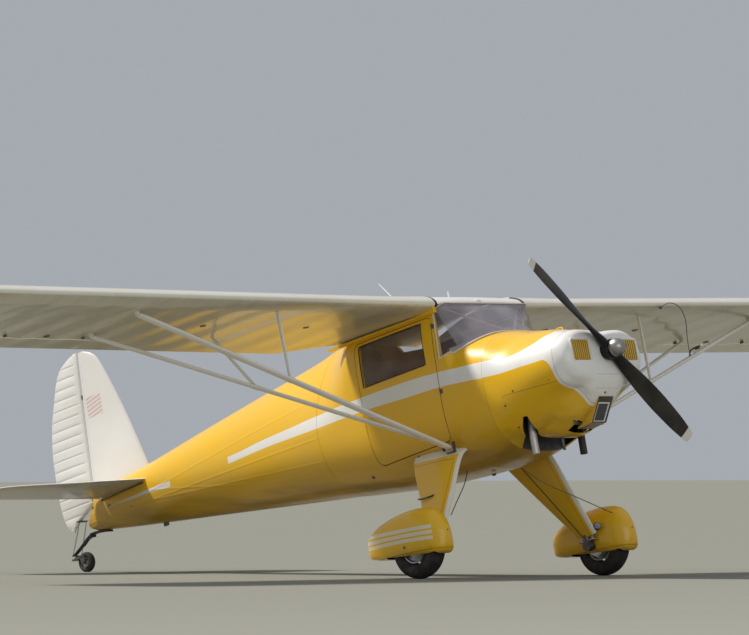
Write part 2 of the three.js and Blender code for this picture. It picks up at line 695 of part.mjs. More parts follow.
// Leg fairing, from the fuselage side down to the axle.
// Columns: x, front y, rear y, front z, rear z, thickness
const LEG = [
  [380, 1188, 1716, -420, -336, 58],
  [440, 1190, 1704, -452, -392, 60],
  [628, 1197, 1535, -758, -752, 56],
  [FOOT_X, 1205, 1392, -1062, -1062, 44],
];

function addMainGear() {
  const skin = bodyOf([[1080, ...CABIN[0].slice(1)], ...CABIN.slice(0, 3)], -2);
  for (const { word, s } of sides) {
    const ring = ([x, y0, y1, z0, z1, thick]) =>
      [...Array(14).keys()].map((k) => {
        const t = (k / 14) * 2 * Math.PI;
        const swing = Math.sin(t) * thick * 0.5 * (1 + 0.35 * Math.cos(t));
        const back = (1 - Math.cos(t)) / 2;
        const [y, z] = [y0 + back * (y1 - y0), z0 + back * (z1 - z0)];
        return point(s * (x + swing * 0.8), y, z + swing * 0.6);
      });
    const middleX = (s * TRACK) / 2;
    const onAxle = (x) => point(s * x, AXLE.y, AXLE.z);
    const axle = bar(onAxle(FOOT_X), onAxle(TRACK / 2 + AXLE_PAST_CENTRE), AXLE.radius, 16);
    const knuckle = bar(onAxle(FOOT_X - FOOT.inward), onAxle(FOOT_X + FOOT.outward), FOOT.knuckle, 20);
    const postHead = onAxle(FOOT_X - 12).add(point(0, -8, FOOT.postRise));
    const post = bar(onAxle(FOOT_X), postHead, FOOT.postRadius, 12);
    const leg = union([loft(LEG.map(ring)), axle, knuckle, post]);
    piece(`gear_leg_${word}`, cutAll(leg, [skin, liftStruts(s, 2).shape]), YELLOW);

    const around = (profile, steps) => {
      const points = profile.map(([r, h]) => new THREE.Vector2(r, h));
      return solid(new THREE.LatheGeometry(points, steps).rotateZ(Math.PI / 2));
    };
    const middle = (TYRE.radius + TYRE.rimRadius) / 2;
    const reach = (TYRE.radius - TYRE.rimRadius) / 2;
    const circle = [...Array(11).keys()].map((k) => (k / 10) * 2 * Math.PI);
    const tyre = around(circle.map((t) => [middle + Math.cos(t) * reach, Math.sin(t) * TYRE.halfWidth]), 32);
    const tyreMesh = piece(`tyre_${word}`, tyre, RUBBER);
    tyreMesh.position.set(middleX, AXLE.y, AXLE.z);

    const edge = TYRE.rimRadius - 1;
    const bore = AXLE.radius + 3;
    const half = [[bore, HUB_HALF_WIDTH], [edge - 26, HUB_HALF_WIDTH + 2], [edge, HUB_HALF_WIDTH + 10]];
    const profile = [...half.map(([r, h]) => [r, -h]), ...half.reverse(), [bore, -HUB_HALF_WIDTH]];
    const rimMesh = piece(`wheel_${word}`, around(profile, 28).subtract(tyre), METAL);
    rimMesh.position.copy(tyreMesh.position);
  }
}

// Wheel fairing. Columns: y, top z, bottom z, half width
const FAIRING = [
  [1000, -1062, -1140, 20],
  [1014, -1006, -1202, 46],
  [1036, -958, -1228, 70],
  [1072, -914, -1234, 92],
  [1115, -888, -1231, 108],
  [1200, -866, -1218, 120],
  [1300, -857, -1201, 123],
  [1450, -862, -1178, 118],
  [1600, -885, -1155, 101],
  [1690, -913, -1137, 84],
  [1750, -945, -1118, 60],
  [1782, -975, -1098, 28],
];
const WHEEL_WELL = { y0: 1072, y1: 1580, top: -1120, halfWidth: 86, corner: 30 };
const FAIRING_WALL = 8;
const SQUARENESS = { upper: 2.2, lower: 4.4 };

function addFairings() {
  const ring = ([y, top, bottom, half], x, inset) =>
    [...Array(24).keys()].map((k) => {
      const t = (k / 24) * 2 * Math.PI;
      const power = 2 / (Math.sin(t) > 0 ? SQUARENESS.upper : SQUARENESS.lower);
      const part = (v) => Math.sign(v) * Math.abs(v) ** power;
      const [across, up] = [part(Math.cos(t)) * (half - inset), part(Math.sin(t))];
      return point(x + across, y, (top + bottom) / 2 + up * ((top - bottom) / 2 - inset));
    });
  for (const { word, s } of sides) {
    const x = (s * TRACK) / 2;
    const outer = loft(FAIRING.map((row) => ring(row, x, 0)));
    const core = loft(FAIRING.slice(1, -1).map((row) => ring(row, x, FAIRING_WALL)));
    const { y0, y1, top, halfWidth, corner } = WHEEL_WELL;
    const way = [[x - halfWidth, y0], [x + halfWidth, y0], [x + halfWidth, y1], [x - halfWidth, y1]];
    const well = slabZ(rounded(way, corner), AXLE.z - TYRE.radius, top);
    const axleHole = bar(point(s * FOOT_X, AXLE.y, AXLE.z), point(x, AXLE.y, AXLE.z), 30, 20);
    piece(`wheel_fairing_${word}`, largest(cutAll(outer, [core, well, axleHole])), YELLOW);
  }
}

function addTail() {
  // Columns of a tail surface: distance along the span, leading edge y, trailing edge y, thickness
  const ringUp = ([z, y0, y1, thick]) => tailRing(y0, y1, thick).map(([y, t]) => point(t, y, z));
  const coneSkin = coreOf(TAIL_CONE, -FIT_GAP);
  const finPlan = [
    [340, 4858, 34],
    [600, 4937, 34],
    [900, 5037, 32],
    [1180, 5150, 28],
    [1280, 5196, 24],
    [1350, 5240, 20],
    [1395, 5305, 15],
    [1418, 5378, 10],
  ];
  const fin = loft(finPlan.map(([z, y0, thick]) => ringUp([z, y0, rudderHingeY(z) - FIN_GAP, thick])));
  piece("fin", fin.subtract(coneSkin), WHITE);

  // Columns: z, leading edge behind the hinge line, trailing edge y, thickness
  const rudderPlan = [
    [98, 258, 5812, 14],
    [118, 236, 5836, 20],
    [149, 200, 5860, 25],
    [208, 88, 5885, 30],
    [265, 0, 5896, 32],
    [400, 0, 5905, 32],
    [650, 0, 5896, 32],
    [920, 0, 5848, 30],
    [1130, 0, 5768, 26],
    [1250, 0, 5718, 22],
    [1340, 0, 5652, 18],
    [1395, 0, 5555, 14],
    [1424, 0, 5470, 10],
  ];
  const rudder = rudderPlan.map(([z, back, y1, thick]) => ringUp([z, rudderHingeY(z) + back, y1, thick]));
  piece("rudder", loft(rudder), WHITE);

  const flat = (x, y0, y1, thick, z) => tailRing(y0, y1, thick).map(([y, t]) => point(x, y, z + t));
  const stabPlan = [
    [0, 4745, STAB_REAR_Y, 34],
    [150, 4772, STAB_REAR_Y, 34],
    [434, 4826, STAB_REAR_Y, 33],
    [954, 4920, STAB_REAR_Y, 30],
    [1300, 4982, STAB_REAR_Y, 25],
    [1430, 5040, STAB_REAR_Y, 20],
    [1490, 5150, STAB_REAR_Y, 14],
  ];
  const elevatorPlan = [
    [70, ELEVATOR_HINGE_Y, 5500, 26],
    [150, ELEVATOR_HINGE_Y, 5690, 26],
    [900, ELEVATOR_HINGE_Y, 5690, 24],
    [1200, ELEVATOR_HINGE_Y, 5650, 20],
    [1400, ELEVATOR_HINGE_Y, 5570, 16],
    [1500, ELEVATOR_HINGE_Y, 5450, 10],
  ];
  const halves = sides.map(({ s }) =>
    loft(stabPlan.map(([x, y0, y1, t]) => flat(s * x, y0, y1, t, TAILPLANE_Z))).subtract(coneSkin),
  );
  const spars = SPAR_Y.map((y) =>
    bar(point(-260, y, TAILPLANE_Z), point(260, y, TAILPLANE_Z), SPAR_RADIUS, 12),
  );
  piece("tailplane", union([...halves, ...spars]), WHITE);

  const surfaces = sides.map(({ s }) =>
    loft(
      elevatorPlan.map(([x, y0, y1, t]) =>
        flat(s * x, y0 - ELEVATOR_HINGE_Y, y1 - ELEVATOR_HINGE_Y, t, 0),
      ),
    ),
  );
  const tube = bar(point(-90, 0, 0), point(90, 0, 0), SPAR_RADIUS, 12);
  const turned = new THREE.Group();
  turned.position.set(0, ELEVATOR_HINGE_Y, TAILPLANE_Z);
  turned.rotation.x = ELEVATOR_UP;
  airframe.add(turned);
  turned.add(piece("elevator", union([...surfaces, tube]), WHITE));
}

// A thin symmetrical section between two y values: [y, half thickness signed] round the outline.
function tailRing(y0, y1, thick) {
  const stations = [0, 0.06, 0.25, 0.6, 1];
  const heights = [0, 0.32, 0.5, 0.42, 0.14];
  const upper = stations.map((share, i) => [y0 + share * (y1 - y0), heights[i] * thick]);
  const lower = stations.slice(1).map((share, i) => [y0 + share * (y1 - y0), -heights[i + 1] * thick]);
  return [...upper, ...lower.reverse()];
}

// The stern post in side view, behind the cone and under the rudder's cut-away foot
const STERN_POST = {
  side: [[5480, 42], [5545, 52], [5612, 84], [5628, 116], [5572, 200], [5532, 234], [5480, 240]],
  halfWidth: 12,
};

function addTailCone() {
  const shell = bodyOf(TAIL_CONE).subtract(coreOf(TAIL_CONE.slice(0, -1), CONE_SKIN, 0));
  const halfWidth = 200;
  const across = (y, radius) =>
    bar(point(-halfWidth, y, TAILPLANE_Z), point(halfWidth, y, TAILPLANE_Z), radius, 16);
  const holes = [
    across(ELEVATOR_HINGE_Y, SPAR_RADIUS * 2),
    ...SPAR_Y.map((y) => across(y, SPAR_RADIUS + FIT_GAP)),
  ];
  const length = box(-DOOR_SLAB.x1, DOOR_SLAB.x1, CONE_Y + FIT_GAP, TAIL_Y, -ABOVE, ABOVE);
  const post = slabX(STERN_POST.side, -STERN_POST.halfWidth, STERN_POST.halfWidth);
  piece("tail_cone", cutAll(shell.intersect(length).add(post), holes), YELLOW);
}

function addTailWheel() {
  // The leaf spring's middle line in side view
  const spring = [[5400, 15], [5512, 35], [5590, 38], [5650, 20], [5735, -26], [5815, -66], [5850, -80]];
  const { halfWidth, halfThickness, lean } = TAIL_SPRING;
  const upper = spring.map(([y, z]) => [y + lean, z + halfThickness]);
  const lower = spring.map(([y, z]) => [y - lean, z - halfThickness]).reverse();
  const leaf = slabX([...upper, ...lower], -halfWidth, halfWidth);
  piece("tail_spring", largest(leaf.subtract(coreOf(TAIL_CONE, -FIT_GAP))), DARK_STEEL);
  const { radius, y, z } = TAIL_WHEEL;
  const { halfLength, front, back, top, bottom } = TAIL_FORK;
  const inner = TAIL_WHEEL.halfWidth + TAIL_FORK.gap;
  const outer = inner + TAIL_FORK.cheek;
  const pivot = bar(point(0, ...TAIL_PIVOT.top), point(0, ...TAIL_PIVOT.bottom), TAIL_PIVOT.radius, 16);
  const crown = box(-outer, outer, y - halfLength, back, bottom, top);
  const notch = box(-inner, inner, y - 2 * halfLength, front, bottom - 1, top + 1);
  const cheeks = [-outer, inner].map((x) =>
    box(x, x + TAIL_FORK.cheek, y - halfLength, y + halfLength, z - halfLength, top),
  );
  piece("tail_fork", union([pivot, crown.subtract(notch), ...cheeks]), DARK_STEEL);
  const tyre = new THREE.CylinderGeometry(radius, radius, TAIL_WHEEL.halfWidth * 2, 24);
  const mesh = piece("tail_wheel", solid(tyre.rotateZ(Math.PI / 2)), RUBBER);
  mesh.position.set(0, y, z);
}

// Cabin: side views of the panel and the seat as [y, z] corners, half widths and the tubes' sizes
const FLOOR = { halfWidth: 420, y0: 1195, y1: 2448, z0: -430, z1: -415 };
const PANEL = { side: [[1090, -20], [1110, -20], [1110, 245], [1090, 252]], halfWidth: 395 };
const CUSHION = { side: [[1560, -300], [2060, -330], [2060, -230], [1560, -190]], corner: 30 };
const BACKREST = { side: [[1965, -300], [2085, -320], [2190, 240], [2110, 250]], corner: 25 };
const SEAT_HALF_WIDTH = 410;
const STICK = { x: 215, foot: [1500, -380], top: [1560, -60], radius: 11 };
const GRIP = { foot: [1556, -82], top: [1570, 30], radius: 17 };
const TORQUE_TUBE = { halfLength: 235, y: 1500, z: -385, radius: 16 };
const BRACE = { apex: [0, 897, 362], head: [400, 1205, 634], radius: 9, crossRadius: 12 };

function addInterior() {
  const inner = coreOf(CABIN, SKIN + 4, 0);
  const { halfWidth, y0, y1, z0, z1 } = FLOOR;
  const floor = box(-halfWidth, halfWidth, y0, y1, z0, z1).intersect(inner);
  const back = bodyOf([
    [2440, 444, 700, 50, -425, 1.75, 2.4],
    [2452, 442, 698, 50, -423, 1.75, 2.4],
  ]);
  piece("cabin_floor", union([floor, back]), TRIM);

  piece("instrument_panel", slabX(PANEL.side, -PANEL.halfWidth, PANEL.halfWidth), BLACK);

  const seatRoom = coreOf(CABIN, DOOR_WALL + 6, 0);
  const bench = union([CUSHION, BACKREST].map(({ side, corner }) =>
    slabX(rounded(side, corner), -SEAT_HALF_WIDTH, SEAT_HALF_WIDTH),
  ));
  piece("seat_bench", bench.intersect(seatRoom), TRIM);

  // Two sticks on one cross tube
  const sticks = sides.flatMap(({ s }) => [STICK, GRIP].map(({ foot, top, radius }) =>
    bar(point(s * STICK.x, ...foot), point(s * STICK.x, ...top), radius, 10),
  ));
  const { halfLength, y, z } = TORQUE_TUBE;
  const torqueTube = bar(point(-halfLength, y, z), point(halfLength, y, z), TORQUE_TUBE.radius, 12);
  piece("control_sticks", union([...sticks, torqueTube]), BLACK);

  // Tubes from the wing's front fittings to the deck, behind the windscreen
  const apex = point(...BRACE.apex);
  const [headX, ...head] = BRACE.head;
  const heads = sides.map(({ s }) => point(s * headX, ...head));
  const legs = heads.map((end) => bar(end, apex, BRACE.radius, 10));
  const carryThrough = bar(heads[0], heads[1], BRACE.crossRadius, 12);
  piece("cabin_brace", union([...legs, carryThrough]), METAL);
}

const WHIP = { foot: [-120, 1815, 776], tip: [-120, 2040, 1046], radius: 6, tipRadius: 3 };

function addFittings() {
  const whip = bar(point(...WHIP.foot), point(...WHIP.tip), WHIP.radius, 8, WHIP.tipRadius);
  piece("whip_antenna", whip, WHITE);
}

addCabin();
addWings();
addRoof();
addWindscreen();
addCowling();
addNoseBowl();
addIntake();
addPowerplant();
addPropeller();
addStruts();
addMainGear();
addFairings();
addTailCone();
addTail();
addTailWheel();
addInterior();
addFittings();

const aircraft = new THREE.Group();
aircraft.add(airframe);
export default aircraft;
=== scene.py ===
# A parked two-seat light aircraft: high strut-braced wing, fixed main gear in wheel fairings, tail wheel.
# Metres. Pieces are drawn in the airframe's own level frame, with its origin at the centre of the
# propeller disc, x to the pilot's left, y aft and z up, and are then set down nose up as it parks.
import math

import bmesh
import bpy
import numpy as np
from mathutils import Matrix, Vector


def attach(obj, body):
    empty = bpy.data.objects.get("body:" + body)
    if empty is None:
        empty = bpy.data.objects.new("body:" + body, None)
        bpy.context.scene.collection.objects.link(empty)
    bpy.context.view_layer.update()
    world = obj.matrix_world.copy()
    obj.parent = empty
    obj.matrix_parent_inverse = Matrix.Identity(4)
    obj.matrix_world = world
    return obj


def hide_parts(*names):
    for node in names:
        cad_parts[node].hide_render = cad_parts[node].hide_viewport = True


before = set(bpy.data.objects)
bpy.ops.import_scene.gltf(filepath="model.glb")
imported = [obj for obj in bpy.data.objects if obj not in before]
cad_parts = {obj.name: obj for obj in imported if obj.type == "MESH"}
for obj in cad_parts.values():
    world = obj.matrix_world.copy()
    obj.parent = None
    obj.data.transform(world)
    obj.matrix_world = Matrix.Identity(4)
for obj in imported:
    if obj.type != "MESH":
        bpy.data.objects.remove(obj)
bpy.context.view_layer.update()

MM = 0.001

# Parked attitude
PITCH = math.radians(14.405)
HUB = Vector((0, -2.8387, 1.6491))
TO_ROW = Matrix.Translation(HUB) @ Matrix.Rotation(-PITCH, 4, "X")
SIDES = (("left", 1), ("right", -1))

# Camera: a long lens from ahead of the right wing, its eye a metre above the ground
EYE = Vector((-47.1732801, -47.4826102, 0.9894333))
VIEW = Vector((0.70801736, 0.70606011, 0.01380345))
RIGHT = Vector((0.70615162, -0.70805531, -0.00275209))
IMAGE_WIDTH = 749
FOCAL_PIXELS = 9000
SENSOR = 36


# Curves and skins

def calm_slopes(knots, rows):
    """Slopes that never let a column run past its own rows, for tables with straight stretches."""
    shape = (-1,) + (1,) * (rows.ndim - 1)
    gaps = np.diff(knots).reshape(shape)
    rates = np.diff(rows, axis=0) / gaps
    before, after = rates[:-1], rates[1:]
    near, far = 2 * gaps[1:] + gaps[:-1], gaps[1:] + 2 * gaps[:-1]
    same_way = before * after > 0
    safe_before, safe_after = np.where(same_way, before, 1), np.where(same_way, after, 1)
    inner = np.where(same_way, (near + far) / (near / safe_before + far / safe_after), 0)
    return np.concatenate([rates[:1], inner, rates[-1:]])


def hermite(knots, rows, slopes, at):
    """Rows of numbers read at places between their knots, on one smooth curve."""
    at = np.clip(at, knots[0], knots[-1])
    first = np.clip(np.searchsorted(knots, at, side="right") - 1, 0, len(knots) - 2)
    span = knots[first + 1] - knots[first]
    shape = (-1,) + (1,) * (rows.ndim - 1)
    t = ((at - knots[first]) / span).reshape(shape)
    span = span.reshape(shape)
    from_start = rows[first] * (2 * t**3 - 3 * t**2 + 1) + slopes[first] * span * (t**3 - 2 * t**2 + t)
    from_end = rows[first + 1] * (3 * t**2 - 2 * t**3) + slopes[first + 1] * span * (t**3 - t**2)
    return from_start + from_end


def reading(table):
    """A table read at any value of its first column, on a smooth curve through its rows."""
    rows = np.array(table, float)
    knots, values = rows[:, 0], rows[:, 1:]
    return lambda at: hermite(knots, values, calm_slopes(knots, values), np.array([at], float))[0]


def chords(points):
    """The distance along a row of points, by the root of each step, which keeps curves from looping."""
    steps = np.sqrt(np.linalg.norm(np.diff(points, axis=0), axis=-1))
    if steps.ndim > 1:
        steps = steps.mean(axis=1)
    return np.concatenate([[0], np.cumsum(np.maximum(steps, 1e-6))])


def flow(points, count, closed=False):
    """A smooth curve through points, or a smooth skin through rows of them, read at even steps."""
    points = np.array(points, float)
    if closed:
        points = np.concatenate([points[-3:], points, points[:4]])
    knots = chords(points)
    low, high = (knots[3], knots[-4]) if closed else (knots[0], knots[-1])
    return hermite(knots, points, np.gradient(points, knots, axis=0), np.linspace(low, high, count))


def lengths(points):
    """The distance along a line from its start to each of its points."""
    return np.concatenate([[0], np.cumsum(np.linalg.norm(np.diff(points, axis=0), axis=1))])


def spread(points, count):
    """A row of points set at even lengths along the line through the given ones."""
    points = np.array(points, float)
    reached = lengths(points)
    at = np.linspace(0, reached[-1], count)
    return np.stack([np.interp(at, reached, axis) for axis in points.T], axis=1)


def skin(points, close_ends=False):
    """A skin through rows of points: a grid whose corners are laid on them, with meeting edges joined."""
    points = np.array(points, float)
    rows, around = points.shape[:2]
    bm = bmesh.new()
    bmesh.ops.create_grid(bm, x_segments=rows - 1, y_segments=around - 1, size=0.5)
    for corner in bm.verts:
        u = round((corner.co.x + 0.5) * (rows - 1))
        v = round((corner.co.y + 0.5) * (around - 1))
        corner.co = points[u, v]
    bmesh.ops.remove_doubles(bm, verts=bm.verts, dist=1e-5)
    if close_ends:
        bmesh.ops.holes_fill(bm, edges=bm.edges, sides=0)
    bmesh.ops.recalc_face_normals(bm, faces=bm.faces)
    middles = [face.calc_center_median() for face in bm.faces]
    centre = sum(middles, Vector()) / len(middles)
    outward = sum(f.normal.dot(m - centre) * f.calc_area() for f, m in zip(bm.faces, middles))
    if outward < 0:
        bmesh.ops.reverse_faces(bm, faces=bm.faces)
    return bm


def walled(bm, thickness):
    """A skin given a wall inside it."""
    bmesh.ops.solidify(bm, geom=bm.faces[:], thickness=thickness)
    return bm


def slab(outline, axis, low, high, radius=0, segments=4):
    """A flat outline stood up between two places along an axis, its corners rounded if asked.
    The outline's two columns are the other two axes, in order."""
    bm = bmesh.new()
    others = [i for i in range(3) if i != axis]
    corners = []
    for pair in outline:
        co = [low] * 3
        for i, value in zip(others, pair):
            co[i] = value
        corners.append(bm.verts.new(co))
    face = bm.faces.new(corners)
    raised = bmesh.ops.extrude_face_region(bm, geom=[face])["geom"]
    move = Vector([high - low if i == axis else 0 for i in range(3)])
    bmesh.ops.translate(bm, verts=[g for g in raised if isinstance(g, bmesh.types.BMVert)], vec=move)
    bmesh.ops.recalc_face_normals(bm, faces=bm.faces)
    if radius:
        upright = [e for e in bm.edges if abs((e.verts[0].co - e.verts[1].co)[axis]) > 1e-6]
        bmesh.ops.bevel(bm, geom=upright, offset=radius, offset_type="OFFSET", affect="EDGES",
                        segments=segments, profile=0.5, material=-1, clamp_overlap=True)
    return bm


def block(low, high, radius=0, segments=2):
    """A block between two corners, its edges rounded if asked."""
    bm = bmesh.new()
    low, high = Vector(low), Vector(high)
    bmesh.ops.create_cube(bm, size=1)
    bmesh.ops.scale(bm, vec=high - low, verts=bm.verts)
    bmesh.ops.translate(bm, vec=(low + high) / 2, verts=bm.verts)
    if radius:
        bmesh.ops.bevel(bm, geom=bm.edges[:], offset=radius, offset_type="OFFSET", affect="EDGES",
                        segments=segments, profile=0.5, material=-1, clamp_overlap=True)
    return bm


def aimed(bm, start, along):
    """A bmesh drawn up z from the origin, turned to point along a direction and moved to start."""
    turn = Vector(along).to_track_quat("Z", "Y").to_matrix().to_4x4()
    bm.transform(Matrix.Translation(start) @ turn)
    return bm


def turned(profile, start=(0, 0, 0), along=(0, 0, 1), steps=32):
    """A round piece spun from a profile of [radius, height] corners, about a line from start."""
    bm = bmesh.new()
    corners = [bm.verts.new((radius, 0, height)) for radius, height in profile]
    edges = [bm.edges.new(pair) for pair in zip(corners, corners[1:])]
    bmesh.ops.spin(bm, geom=corners + edges, cent=(0, 0, 0), axis=(0, 0, 1), angle=2 * math.pi,
                   steps=steps, use_merge=True)
    bmesh.ops.remove_doubles(bm, verts=bm.verts, dist=1e-6)
    bmesh.ops.recalc_face_normals(bm, faces=bm.faces)
    return aimed(bm, start, along)


def bolt_head(place, along, radius, height):
    """A six-sided head standing on a place."""
    return turned([(0, 0), (radius, 0), (radius, height), (0, height)], place, along, 6)


def rod(start, end, radius, end_radius=None, steps=16):
    """A round bar with flat ends."""
    start, end = Vector(start), Vector(end)
    last = radius if end_radius is None else end_radius
    profile = [(0, 0), (radius, 0), (last, (end - start).length), (0, (end - start).length)]
    return turned(profile, start, end - start, steps)


def tube(points, radius, steps=10, count=0, end_radius=None):
    """A round tube along a smooth line through points."""
    line = flow(points, count) if count else np.array(points, float)
    last = radius if end_radius is None else end_radius
    rows = []
    before = None
    for i, place in enumerate(line):
        ahead = Vector(line[min(i + 1, len(line) - 1)] - line[max(i - 1, 0)]).normalized()
        if before is None:
            before = ahead.orthogonal().normalized()
        side = (before - ahead * before.dot(ahead)).normalized()
        before = side
        up = ahead.cross(side)
        reach = radius + (last - radius) * i / (len(line) - 1)
        angles = np.linspace(0, 2 * math.pi, steps + 1)
        rows.append([Vector(place) + reach * (math.cos(a) * side + math.sin(a) * up) for a in angles])
    return skin(rows, close_ends=True)


def joined(parts):
    """Several bmeshes as one."""
    whole = bmesh.new()
    for part in parts:
        mesh = bpy.data.meshes.new("part")
        part.to_mesh(mesh)
        part.free()
        whole.from_mesh(mesh)
        bpy.data.meshes.remove(mesh)
    return whole


def mirrored(bm):
    """The bmesh on the other side of the aircraft."""
    bmesh.ops.scale(bm, vec=(-1, 1, 1), verts=bm.verts)
    bmesh.ops.reverse_faces(bm, faces=bm.faces)
    return bm


def on_side(s, bm):
    """A bmesh drawn on the left, moved to the right where s is -1."""
    return bm if s > 0 else mirrored(bm)


def workpiece(bm):
    """A passing object made of a bmesh, for the modifiers to work on."""
    mesh = bpy.data.meshes.new("work")
    bm.to_mesh(mesh)
    bm.free()
    work = bpy.data.objects.new("work", mesh)
    bpy.context.scene.collection.objects.link(work)
    return work


def carved(bm, shapes, keep="DIFFERENCE"):
    """The bmesh with each shape cut out of it, or, with keep INTERSECT, what lies inside the shapes."""
    work = workpiece(bm)
    cutters = [workpiece(shape) for shape in shapes]
    for cutter in cutters:
        cut = work.modifiers.new("cut", "BOOLEAN")
        cut.operation = keep
        cut.solver = "MANIFOLD"
        cut.object = cutter
    result = bmesh.new()
    result.from_object(work, bpy.context.evaluated_depsgraph_get())
    for used in [work, *cutters]:
        mesh = used.data
        bpy.data.objects.remove(used)
        bpy.data.meshes.remove(mesh)
    return result


CREASE = math.radians(33)


def make(name, bm, finish, body="airframe", stands_for=(), crease=CREASE, material_of=None):
    """A finished piece: set down in the row frame, shaded smooth but for its creases, riding on its body.
    finish is one material, or several that material_of chooses between for each face."""
    finishes = finish if isinstance(finish, (list, tuple)) else [finish]
    if material_of:
        for face in bm.faces:
            face.material_index = material_of(face)
    for face in bm.faces:
        face.smooth = True
    for edge in bm.edges:
        edge.smooth = edge.calc_face_angle(0) < crease
    bm.transform(TO_ROW)
    mesh = bpy.data.meshes.new(name)
    bm.to_mesh(mesh)
    bm.free()
    for material in finishes:
        mesh.materials.append(material.material)
    piece = bpy.data.objects.new(name, mesh)
    bpy.context.scene.collection.objects.link(piece)
    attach(piece, body)
    if stands_for:
        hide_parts(*stands_for)
    return piece


# Shader sums, written as Python expressions

class Number:
    """A number in a material. Sums on it add Math nodes."""

    def __init__(self, sheet, socket):
        self.sheet = sheet
        self.socket = socket

    def sum(self, operation, *others, **settings):
        values = {i: value for i, value in enumerate((self, *others))}
        return self.sheet.add("Math", {"operation": operation, **settings}, values)

    def __add__(self, other):
        return self.sum("ADD", other)

    def __sub__(self, other):
        return self.sum("SUBTRACT", other)

    def __mul__(self, other):
        return self.sum("MULTIPLY", other)

    def __truediv__(self, other):
        return self.sum("DIVIDE", other)

    def __rsub__(self, other):
        return self.sheet.add("Math", {"operation": "SUBTRACT"}, {0: other, 1: self})

    def __abs__(self):
        return self.sum("ABSOLUTE")

    def __neg__(self):
        return self.sum("MULTIPLY", -1)

    def __pow__(self, other):
        return self.sum("POWER", other)

    __radd__ = __add__
    __rmul__ = __mul__

    def high(self, other):
        return self.sum("MAXIMUM", other)

    def low(self, other):
        return self.sum("MINIMUM", other)

    def wave(self, pitch, start=0):
        """The distance to the nearest of a row of places, pitch apart."""
        return abs((self - (start - pitch / 2)).sum("FLOORED_MODULO", pitch) - pitch / 2)

    def rise(self, low, high):
        """0 below low and 1 above high, soft between. With low over high it falls instead."""
        return self.sheet.add(
            "MapRange",
            {"interpolation_type": "SMOOTHSTEP", "clamp": True},
            {"Value": self, "From Min": low, "From Max": high, "To Min": 0, "To Max": 1},
        )

    def between(self, low, high, soft):
        return self.rise(low - soft, low + soft) * self.rise(high + soft, high - soft)


class Finish:
    """A material built up in code, with the record's slot that it belongs to."""

    def __init__(self, name, slot, **settings):
        self.slot = slot
        self.material = bpy.data.materials.new(name)
        self.material.use_nodes = True
        self.tree = self.material.node_tree
        self.tree.nodes.clear()
        self.out = self.tree.nodes.new("ShaderNodeOutputMaterial")
        self.shader = self.tree.nodes.new("ShaderNodeBsdfPrincipled")
        self.tree.links.new(self.shader.outputs[0], self.out.inputs[0])
        self.set(**settings)

    def add(self, kind, settings=None, inputs=None, output=0):
        """Any node: its type, its settings, then the values or links of its sockets."""
        node = self.tree.nodes.new("ShaderNode" + kind)
        for key, value in (settings or {}).items():
            if key == "stops":
                self.fill_ramp(node.color_ramp, value)
            else:
                setattr(node, key, value)
        for key, value in (inputs or {}).items():
            self.feed(node.inputs[key], value)
        return Number(self, node.outputs[output])

    def fill_ramp(self, ramp, stops):
        while len(ramp.elements) < len(stops):
            ramp.elements.new(0.5)
        for element, (place, colour) in zip(ramp.elements, stops):
            element.position = place
            element.color = colour

    def feed(self, socket, value):
        if isinstance(value, Number):
            self.tree.links.new(value.socket, socket)
        else:
            socket.default_value = value

    def set(self, **values):
        """Sockets of the shader, by name with underscores: numbers, colours or links."""
        for key, value in values.items():
            name = key.replace("_", " ")
            if isinstance(value, tuple) and len(value) == 3:
                value = (*value, 1)
            self.feed(self.shader.inputs[name], value)
        return self

    def place(self):
        """The point's own x, y and z in the airframe's frame."""
        here = self.add("TexCoord", output=3)
        turn = Matrix.Rotation(PITCH, 3, "X")
        level = self.add(
            "Mapping",
            {"vector_type": "POINT"},
            {"Vector": here, "Rotation": (PITCH, 0, 0), "Location": -(turn @ HUB)},
        )
        node = self.tree.nodes.new("ShaderNodeSeparateXYZ")
        self.tree.links.new(level.socket, node.inputs[0])
        return [Number(self, output) for output in node.outputs]

    def noise(self, scale, detail=2, roughness=0.5, stretch=None):
        """Smooth noise from 0 to 1, about 0.5, with features of 1 / scale metres."""
        vector = self.add("TexCoord", output=3)
        if stretch:
            vector = self.add("Mapping", {}, {"Vector": vector, "Scale": stretch})
        inputs = {"Vector": vector, "Scale": scale, "Detail": detail, "Roughness": roughness}
        return self.add("TexNoise", {}, inputs)

    def curve(self, value, points):
        """A line through [input, output] points, read at value."""
        points = np.array(points, float)
        low, high = points.min(axis=0), points.max(axis=0)
        span = high - low
        node = self.tree.nodes.new("ShaderNodeFloatCurve")
        line = node.mapping.curves[0]
        shares = (points - low) / span
        for _ in range(len(shares) - len(line.points)):
            line.points.new(0.5, 0.5)
        for place, (at, height) in zip(line.points, shares):
            place.location = (at, height)
            place.handle_type = "AUTO_CLAMPED"
        node.mapping.update()
        self.feed(node.inputs["Value"], (value - low[0]) / span[0])
        return Number(self, node.outputs[0]) * span[1] + low[1]

    def mix(self, factor, a, b):
        """Colour a where factor is 0 and colour b where it is 1."""
        node = self.tree.nodes.new("ShaderNodeMix")
        node.data_type = "RGBA"
        self.feed(node.inputs["Factor"], factor)
        for name, value in (("A", a), ("B", b)):
            socket = [i for i in node.inputs if i.name == name and i.type == "RGBA"][0]
            self.feed(socket, (*value, 1) if isinstance(value, tuple) and len(value) == 3 else value)
        return Number(self, [o for o in node.outputs if o.type == "RGBA"][0])

    def bump(self, height, distance, strength=1.0):
        normal = self.add("Bump", {}, {"Height": height, "Distance": distance, "Strength": strength})
        self.feed(self.shader.inputs["Normal"], normal)
        return self


